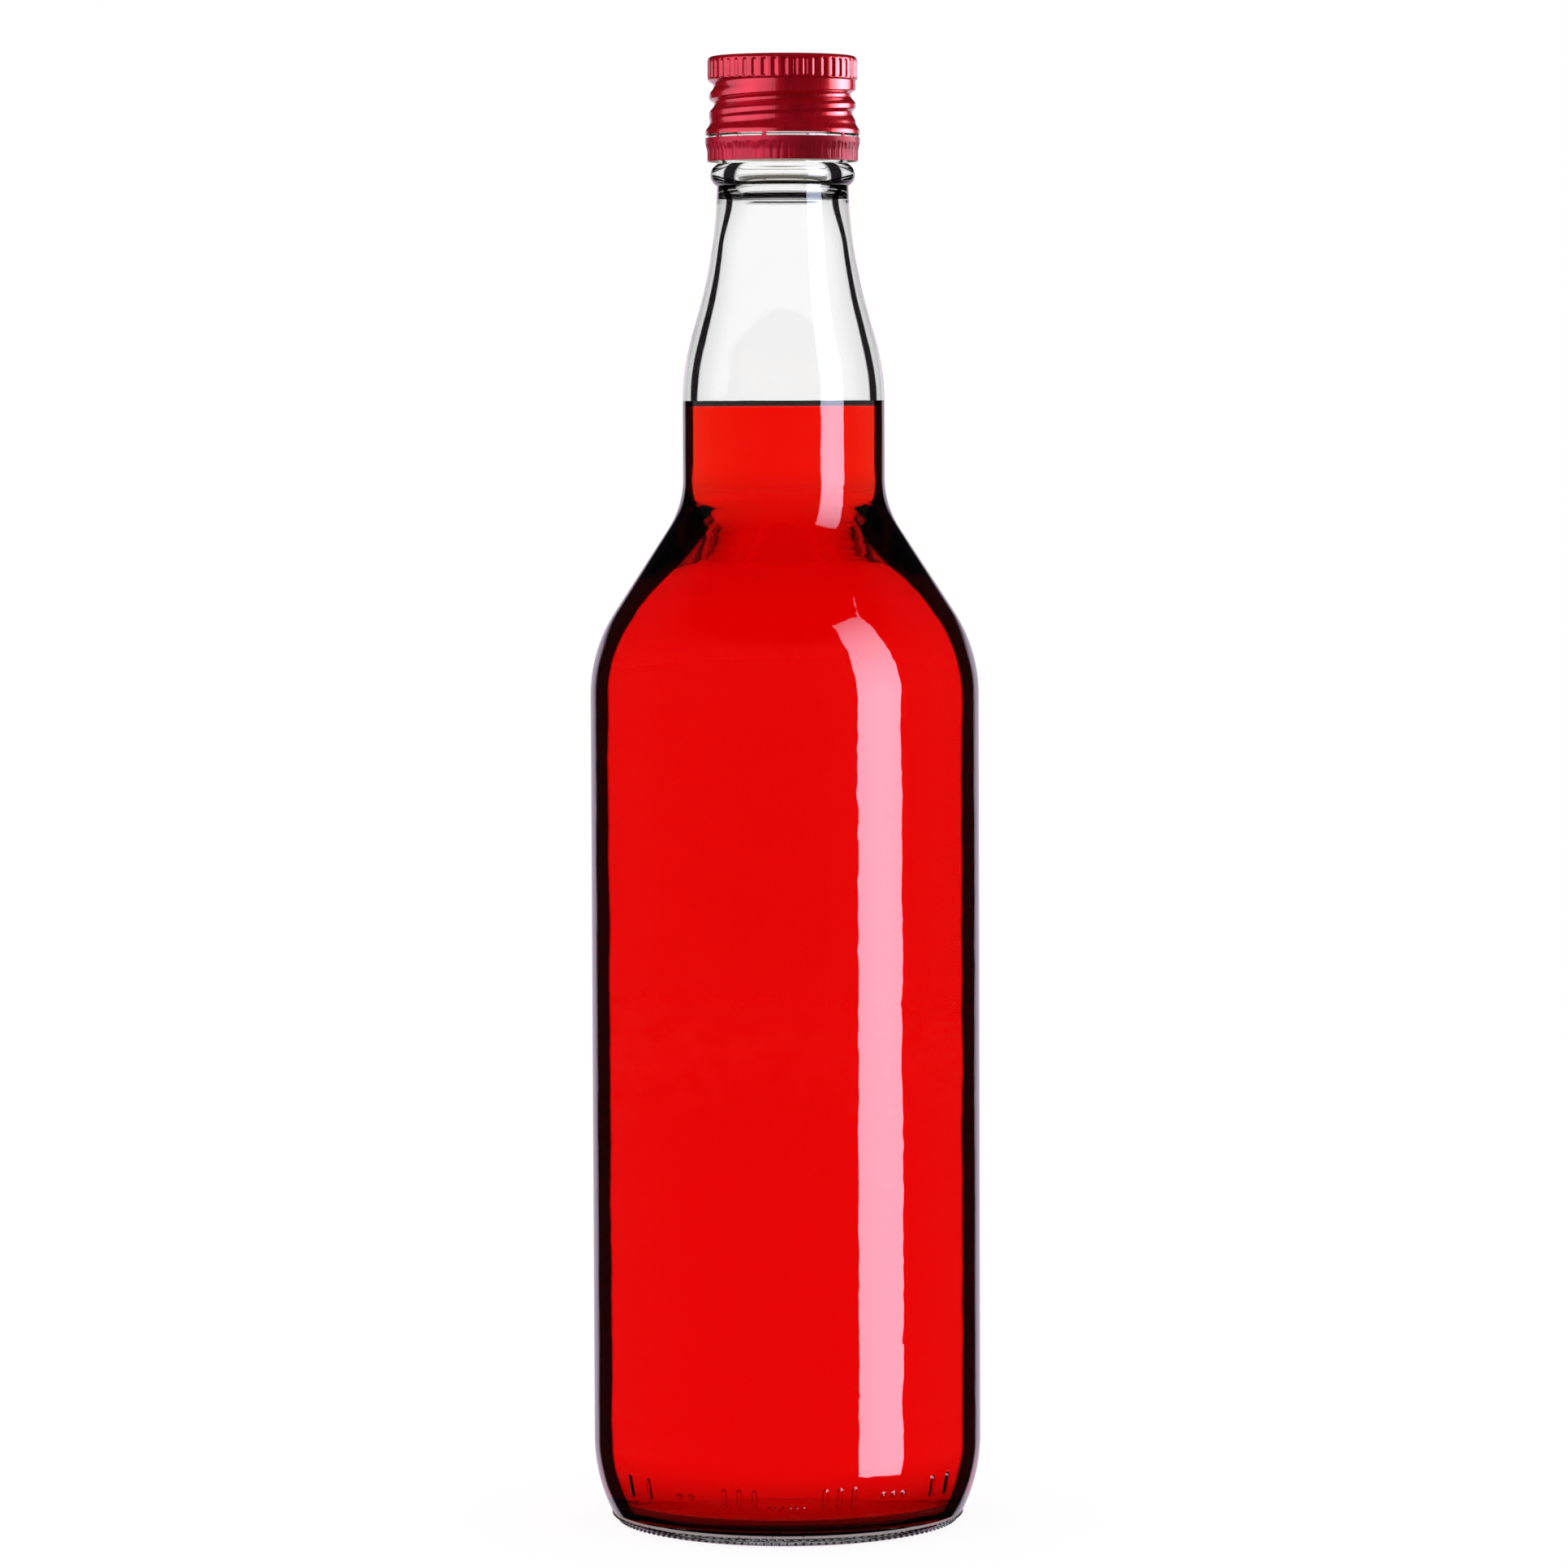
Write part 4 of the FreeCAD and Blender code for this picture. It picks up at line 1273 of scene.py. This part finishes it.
@dataclass
class CapShell:
    """The pressed aluminium shell: knurled rim, rolled thread and beaded edge."""

    bottle: GlassBottle
    sheet: float = 0.25 * MM
    liner_thickness: float = 1.75 * MM
    corner: float = 0.95 * MM
    wall_radius: float = 14.1 * MM
    knurl_proud: float = 0.28 * MM
    knurl_height: float = 4.45 * MM
    flute_count: int = 45
    flute_width: float = 1.25 * MM
    flute_depth: float = 0.27 * MM
    flute_drop: float = 0.95 * MM
    flute_length: float = 3.3 * MM
    groove_drop: float = 8.85 * MM
    groove_depth: float = 0.95 * MM
    groove_land: float = 0.4 * MM
    groove_flank_low: float = 1.6 * MM
    groove_flank_top: float = 0.85 * MM
    bead_radius: float = 14.85 * MM
    bead_drop: float = 12.3 * MM
    bead_flare: float = 1.1 * MM
    skirt_drop: float = 12.95 * MM
    columns: int = 450

    def build(self) -> Object:
        """Make the shell with its rolled groove and its flutes."""
        skin, inside = Surface.OUTSIDE, Surface.INSIDE
        brim = self.bottle.brim
        top = brim + self.liner_thickness + self.sheet
        knurl = self.wall_radius + self.knurl_proud
        bead_z = brim - self.bead_drop
        inner = self.wall_radius - self.sheet
        outline = Outline(0.0, top)
        outline.line(knurl - self.corner, top, Surface.TOP, 8)
        outline.arc((knurl - self.corner, top - self.corner), self.corner, 90.0, 0.0, skin, 7)
        outline.line(knurl, top - self.knurl_height, skin, 26, 0.1 * MM)
        outline.line(self.wall_radius, top - self.knurl_height - self.knurl_proud, skin, 1, 0.1 * MM)
        outline.line(self.wall_radius, bead_z + self.bead_flare + self.sheet / 2, skin, 84, 0.5 * MM)
        outline.line(self.bead_radius, bead_z + self.sheet / 2, skin, 3, 0.35 * MM)
        outline.line(self.bead_radius, brim - self.skirt_drop, skin, 2)
        outline.line(self.bead_radius - self.sheet, brim - self.skirt_drop, Surface.CUT_EDGE)
        outline.line(self.bead_radius - self.sheet, bead_z, inside, 1, 0.3 * MM)
        outline.line(inner, bead_z + self.bead_flare, inside, 2, 0.4 * MM)
        outline.line(inner, top - self.sheet, inside, 52)
        outline.line(0.0, top - self.sheet, inside, 6)
        piece = outline.spin("cap_cup", self.columns)
        sizes = named_sizes(
            "Groove", depth=-self.groove_depth, pitch=self.bottle.thread_pitch,
            start=brim - self.groove_drop, land=self.groove_land, low=self.groove_flank_low,
            top=self.groove_flank_top,
            within=inner - 0.1 * MM, begin=-0.8, full=0.5, wane=1.45, end=1.75)
        sizes |= named_sizes(
            "Flute", count=self.flute_count, depth=self.flute_depth, width=self.flute_width, radius=knurl,
            low=top - self.flute_drop - self.flute_length, top=top - self.flute_drop, end=0.25 * MM)
        sizes |= named_sizes("Dent", depth=0.10 * MM, cells=160.0, stretch=1.0, fade=0.5 * MM,
                             low=brim - self.bead_drop, top=top - self.knurl_height)
        recipe = Recipe("cap_cup", sizes)
        recipe.flutes("Flute")
        recipe.helix("Groove")
        recipe.ripple("Dent", recipe.outer())
        recipe.apply(piece, self.dress(LacquerFinish("red_lacquer")))
        return piece

    def dress(self, lacquer: LacquerFinish) -> dict[Surface, Material]:
        """Make the finishes of the outside, the bare cut edge and the coated inside.

        Args:
            lacquer: the outside's lacquer.

        Returns:
            The material of each surface.
        """
        inside = MetalFinish("gold_lacquer", (0.76, 0.68, 0.50, 1.0), (0.62, 0.54, 0.38, 1.0), 0.3)
        panel = LacquerFinish("matt_red_lacquer", roughness=0.55, coat=0.0, metallic=0.15, specular=0.1)
        return {
            Surface.OUTSIDE: lacquer.material(),
            Surface.TOP: panel.material(),
            Surface.INSIDE: inside.material(),
            Surface.CUT_EDGE: MetalFinish("cut_aluminium").material(),
        }


@dataclass
class CapLiner:
    """The sealing disc, with the ring that the brim presses into it."""

    shell: CapShell
    play: float = 0.25 * MM
    lip: float = 0.35 * MM
    columns: int = 144

    def build(self) -> Object:
        """Make the liner."""
        shell, skin = self.shell, Surface.OUTSIDE
        brim = shell.bottle.brim
        edge = shell.wall_radius - shell.sheet - self.play
        lip_in = shell.bottle.finish_radius + 0.3 * MM
        outline = Outline(0.0, brim)
        outline.line(lip_in, brim, skin, 14)
        outline.line(lip_in + 0.15 * MM, brim - self.lip, skin, 1, 0.1 * MM)
        outline.line(edge, brim - self.lip, skin, 1, 0.15 * MM)
        outline.line(edge, brim + shell.liner_thickness, skin, 3, 0.2 * MM)
        outline.line(0.0, brim + shell.liner_thickness, skin, 8)
        piece = outline.spin("sealing_disc", self.columns)
        recipe = Recipe("sealing_disc", named_sizes(
            "Edge", depth=0.06 * MM, cells=400.0, stretch=0.3, fade=0.2 * MM, low=brim - MM,
            top=brim + shell.liner_thickness))
        recipe.ripple("Edge", recipe.radius() > edge - 0.3 * MM)
        recipe.apply(piece, {Surface.OUTSIDE: FoamFinish("white_foam").material()})
        return piece


@dataclass
class PilferBand:
    """The tamper band: a tapered hoop with fine creases, and the bridges that hold it to the shell."""

    shell: CapShell
    slit_height: float = 0.65 * MM
    height: float = 4.5 * MM
    lip: float = 0.9 * MM
    taper: float = 1.7 * MM
    tuck: float = 0.15 * MM
    bridge_width: float = 3.5
    bridge_waist: float = 0.72
    bridge_flare: float = 0.55
    bridge_gap: float = 0.02 * MM
    bridge_left: float = 213.0
    bridge_middle: float = 256.5
    bridge_right: float = 321.5
    back_bridges: int = 4
    columns: int = 450

    def build_bridge(self, top: float, bottom: float) -> Object:
        """Make one bridge, flared at both ends, at the angle 0.

        Args:
            top: height of its broken end.
            bottom: height of the band that it grows from.

        Returns:
            The bridge.
        """
        outer = self.shell.bead_radius
        rows, columns = 8, 6
        rings: list[list[bmesh.types.BMVert]] = []
        mesh = bpy.data.meshes.new("bridge")
        with reshaped(mesh) as shape:
            for row in range(rows + 1):
                share = row / rows
                half = math.radians(self.bridge_width) / 2
                half *= self.bridge_waist + self.bridge_flare * (2 * share - 1) ** 4
                angles = [half * (2 * column / columns - 1) for column in range(columns + 1)]
                height = bottom + (top - bottom) * share
                loop = [(outer, angle) for angle in angles]
                loop += [(outer - self.shell.sheet, angle) for angle in reversed(angles)]
                rings.append([shape.verts.new((radius * math.cos(angle), radius * math.sin(angle), height))
                              for radius, angle in loop])
            for lower, upper in zip(rings, rings[1:]):
                for index in range(len(lower)):
                    after = (index + 1) % len(lower)
                    shape.faces.new((lower[index], lower[after], upper[after], upper[index]))
            shape.faces.new(reversed(rings[0]))
            shape.faces.new(rings[-1])
            bmesh.ops.recalc_face_normals(shape, faces=shape.faces)
        return add_object("bridge", mesh)

    def build(self) -> Object:
        """Make the band with its creases and bridges."""
        shell, skin, inside = self.shell, Surface.OUTSIDE, Surface.INSIDE
        edge = shell.bottle.brim - shell.skirt_drop
        top = edge - self.slit_height
        bottom = top - self.height
        wide, narrow = shell.bead_radius, shell.bottle.lock_radius - self.tuck + shell.sheet
        taper_top, taper_low = top - self.lip, top - self.lip - self.taper
        outline = Outline(wide - shell.sheet, top)
        outline.line(wide - shell.sheet, taper_top, inside, 2, 0.3 * MM)
        outline.line(narrow - shell.sheet, taper_low, inside, 3, 0.4 * MM)
        outline.line(narrow - shell.sheet, bottom, inside, 3)
        outline.line(narrow, bottom, Surface.CUT_EDGE)
        outline.line(narrow, taper_low, skin, 6, 0.4 * MM)
        outline.line(wide, taper_top, skin, 6, 0.3 * MM)
        outline.line(wide, top, skin, 3)
        outline.stretches[0].surface = Surface.CUT_EDGE
        piece = outline.spin("tamper_hoop", self.columns)
        sizes = named_sizes("Crease", depth=0.40 * MM, cells=1400.0, stretch=0.03, fade=0.4 * MM, low=bottom,
                            top=taper_top)
        front = (self.bridge_left, self.bridge_middle, self.bridge_right)
        back_step = (360.0 - self.bridge_right + self.bridge_left) / (self.back_bridges + 1)
        rows = [(f"Bridge {index}", 1, place, 0.0) for index, place in enumerate(front)]
        rows.append(("Bridges", self.back_bridges, self.bridge_right + back_step, back_step))
        for label, count, first, step in rows:
            sizes |= named_sizes(label, count=count, first=math.radians(first), step=math.radians(step),
                                 radius=0.0, height=0.0)
        recipe = Recipe("tamper_hoop", sizes)
        recipe.ripple("Crease", recipe.outer())
        for label, *_ in rows:
            recipe.ring_of(label, self.build_bridge(edge - self.bridge_gap, top))
        satin = LacquerFinish("satin_red_lacquer", (0.56, 0.004, 0.026, 1.0), (0.40, 0.002, 0.018, 1.0),
                              roughness=0.36, coat=0.3)
        recipe.apply(piece, shell.dress(satin))
        return piece


@dataclass(frozen=True)
class SoftLamp:
    """A soft rectangular lamp, whose radiance is 1 where its face is white, and its spread in degrees."""

    name: str
    place: tuple
    aim: tuple
    size: tuple
    radiance: float
    colour: tuple = (1.0, 1.0, 1.0)
    spread: float = 180.0

    @classmethod
    def beside(cls, name: str, angle: float, reach: float, height: float, **look: Any) -> "SoftLamp":
        """Place a lamp beside the bottle, level with the point of the axis that it looks at.

        Args:
            name: the lamp's name.
            angle: degrees to the right of the camera.
            reach: distance from the axis.
            height: height above the floor.
            look: its size, radiance, colour and spread.

        Returns:
            The lamp.
        """
        turn = math.radians(angle)
        place = (reach * math.sin(turn), -reach * math.cos(turn), height)
        return cls(name, place, (0.0, 0.0, height), **look)

    def hang(self, pieces: list[Object] | None = None) -> Object:
        """Hang the lamp.

        Args:
            pieces: the only pieces that it shines on, if not on all.

        Returns:
            The lamp's object.
        """
        light = bpy.data.lights.new(self.name, "AREA")
        light.shape = "RECTANGLE"
        light.size, light.size_y = self.size
        light.energy = self.radiance * math.pi * self.size[0] * self.size[1]
        light.color = self.colour
        if self.spread < 180.0:
            half = math.radians(self.spread) / 2
            light.spread = 2 * half
            light.energy *= 1.0 - half / math.tan(half)
        lamp = bpy.data.objects.new(self.name, light)
        lamp.location = self.place
        lamp.rotation_euler = (Vector(self.aim) - Vector(self.place)).to_track_quat("-Z", "Y").to_euler()
        lamp.visible_camera = False
        lamp.visible_transmission = False
        bpy.context.scene.collection.objects.link(lamp)
        if pieces is not None:
            receivers = bpy.data.collections.new(f"{self.name}_pieces")
            for piece in pieces:
                receivers.objects.link(piece)
            lamp.light_linking.receiver_collection = receivers
        return lamp


@dataclass
class Studio:
    """The pale floor, the white field behind the bottle, the soft lamps and the camera."""

    bottle: GlassBottle
    camera_place: tuple = (-0.0002, -1.225, 0.216)
    camera_pitch: float = 3.40
    camera_roll: float = -0.22
    lens: float = 145.7
    sensor: float = 36.0
    floor_side: float = 4.0
    floor_far: tuple = (0.35, 1.1)
    floor_edge: float = 4.0 * MM
    floor_white: float = 0.88
    floor_glow: float = 0.8
    rim_colour: tuple = (0.86, 0.72, 0.88, 1.0)
    zenith: tuple = (0.60, 0.80)
    zenith_dim: float = 0.95
    mirror_side: tuple = (150.0, 156.0)
    mirror_up: tuple = (0.06, 0.16)
    mirror_light: float = 0.9
    room_light: float = 0.01
    soft_light: float = 0.45

    OVERHEAD = SoftLamp("overhead", (0.0, -0.1, 1.6), (0.0, 0.0, 0.0), (1.6, 1.6), 0.9)
    STRIP = SoftLamp.beside("strip", 57.0, 0.9, 0.56, size=(0.47, 1.66), radiance=12.5,
                            colour=(0.71, 0.77, 1.0), spread=124.0)
    LEFT = SoftLamp.beside("left_softbox", -60.0, 0.62, 0.4, size=(1.45, 0.6), radiance=2.2,
                           colour=(0.9, 0.72, 1.0), spread=136.0)
    RIGHT = SoftLamp.beside("right_softbox", 105.0, 0.8, 0.37, size=(0.8, 0.5), radiance=13.0,
                            colour=(0.95, 0.85, 1.0), spread=62.0)
    LOW = SoftLamp.beside("band_softbox", 112.0, 0.8, 0.37, size=(0.8, 0.5), radiance=3.0,
                          colour=(0.7, 0.85, 1.0))

    def build_world(self) -> None:
        """Make the white field, dim overhead, with a dim room in front of the bottle for reflections."""
        world = bpy.data.worlds.new("white_field")
        bpy.context.scene.world = world
        world.use_nodes = True
        world.node_tree.nodes.clear()
        graph = Graph(world.node_tree)
        across, along, up = graph.axes(graph.node("ShaderNodeTexCoord").outputs["Generated"])
        side = across.angle_from(-along) * (180.0 / math.pi)
        camera, glossy, through = graph.rays("Camera", "Glossy", "Transmission")
        field = 1.0 - self.zenith_dim * up.ramp(*self.zenith)
        behind = side.size().ramp(*self.mirror_side) * (1.0 - up.ramp(*self.mirror_up))
        mirror = self.room_light + self.mirror_light * behind
        seen = through * field + (1.0 - through) * (glossy * mirror + (1.0 - glossy) * self.soft_light)
        strength = camera + (1.0 - camera) * seen
        reflected = glossy * (1.0 - through) * (1.0 - camera)
        light = graph.node("ShaderNodeBackground", inputs={
            "Color": graph.blend(reflected, CLEAR, self.rim_colour), "Strength": strength})
        graph.node("ShaderNodeOutputWorld", inputs={"Surface": light.outputs[0]})

    def build_floor(self) -> None:
        """Lay the floor: pale, and white to the eye apart from the bottle's shadow; under the base its glow
        is left out, a painted shadow there.
        """
        half = self.floor_side / 2
        mesh = bpy.data.meshes.new("floor")
        mesh.from_pydata([(-half, -half, 0), (half, -half, 0), (half, half, 0), (-half, half, 0)], [],
                         [(0, 1, 2, 3)])
        floor = add_object("floor", mesh)
        shader = Shader("pale_floor")
        camera, through = shader.rays("Camera", "Transmission")
        across, along, _ = shader.axes(shader.place())
        reach = diagonal(across, along)
        # painted shadow: the floor's glow is left out under the bottle's base
        beside = reach.ramp(self.bottle.bearing - self.floor_edge, self.bottle.bearing)
        far = reach.ramp(*self.floor_far)
        seen = camera.at_least(through) * beside
        paper = shader.principled({
            "Base Color": (0.8, 0.8, 0.8, 1.0), "Roughness": 0.9, "Specular IOR Level": 0.0})
        distant = (self.floor_white, self.floor_white, self.floor_white, 1.0)
        glow = shader.node("ShaderNodeEmission", inputs={
            "Color": shader.blend(far, CLEAR, distant), "Strength": 1.0 / self.floor_white})
        share = seen * (self.floor_glow + (1.0 - self.floor_glow) * far)
        floor.data.materials.append(shader.finish(shader.mix(share, paper.outputs[0], glow.outputs[0])))
        floor.visible_glossy = False

    def build_lamps(self, glass_pieces: list[Object], cap_pieces: list[Object]) -> None:
        """Hang an overhead softbox, a tall strip for the glass, and softboxes beside the cap and its band.

        Args:
            glass_pieces: the pieces that the strip shines on.
            cap_pieces: the lacquered cup and hoop, which have softboxes on both sides.
        """
        self.OVERHEAD.hang().visible_glossy = False
        self.STRIP.hang(glass_pieces).visible_diffuse = False
        self.LEFT.hang(cap_pieces)
        self.RIGHT.hang(cap_pieces[:1])
        self.LOW.hang(cap_pieces[1:])

    def build_camera(self) -> None:
        """Set the camera at the photograph's viewing angle."""
        data = bpy.data.cameras.new("camera")
        data.lens = self.lens
        data.sensor_fit = "HORIZONTAL"
        data.sensor_width = self.sensor
        camera = bpy.data.objects.new("camera", data)
        camera.location = self.camera_place
        turn = Euler((math.radians(90.0 - self.camera_pitch), 0.0, 0.0)).to_quaternion()
        roll = Quaternion((0.0, 0.0, 1.0), math.radians(self.camera_roll))
        camera.rotation_euler = (turn @ roll).to_euler()
        bpy.context.scene.collection.objects.link(camera)
        bpy.context.scene.camera = camera
        bpy.context.scene.view_settings.view_transform = "Standard"


def hand_over(piece: Object, body: str, node: str) -> None:
    """Put a finished piece in the place of a node.

    Args:
        piece: the finished piece.
        body: the body that carries it.
        node: the node that it stands for.
    """
    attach(piece, body)
    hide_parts(node)
    LOG.info("%s: %d faces on %s", piece.name, len(piece.data.polygons), body)


def main() -> None:
    """Build the bottle's pieces in order, then the studio around them."""
    logging.basicConfig(level=logging.INFO)
    bottle = GlassBottle()
    shell = CapShell(bottle)
    glass = bottle.build()
    hand_over(glass, "bottle", "glass_bottle")
    liquid = LiquidFill(bottle).build()
    hand_over(liquid, "bottle", "liquid_fill")
    cup = shell.build()
    hand_over(cup, "cap", "cap_shell")
    hand_over(CapLiner(shell).build(), "liner", "cap_liner")
    hoop = PilferBand(shell).build()
    hand_over(hoop, "band", "pilfer_band")
    studio = Studio(bottle)
    studio.build_world()
    studio.build_floor()
    studio.build_lamps([glass, liquid], [cup, hoop])
    studio.build_camera()


if __name__ == "__main__":
    main()
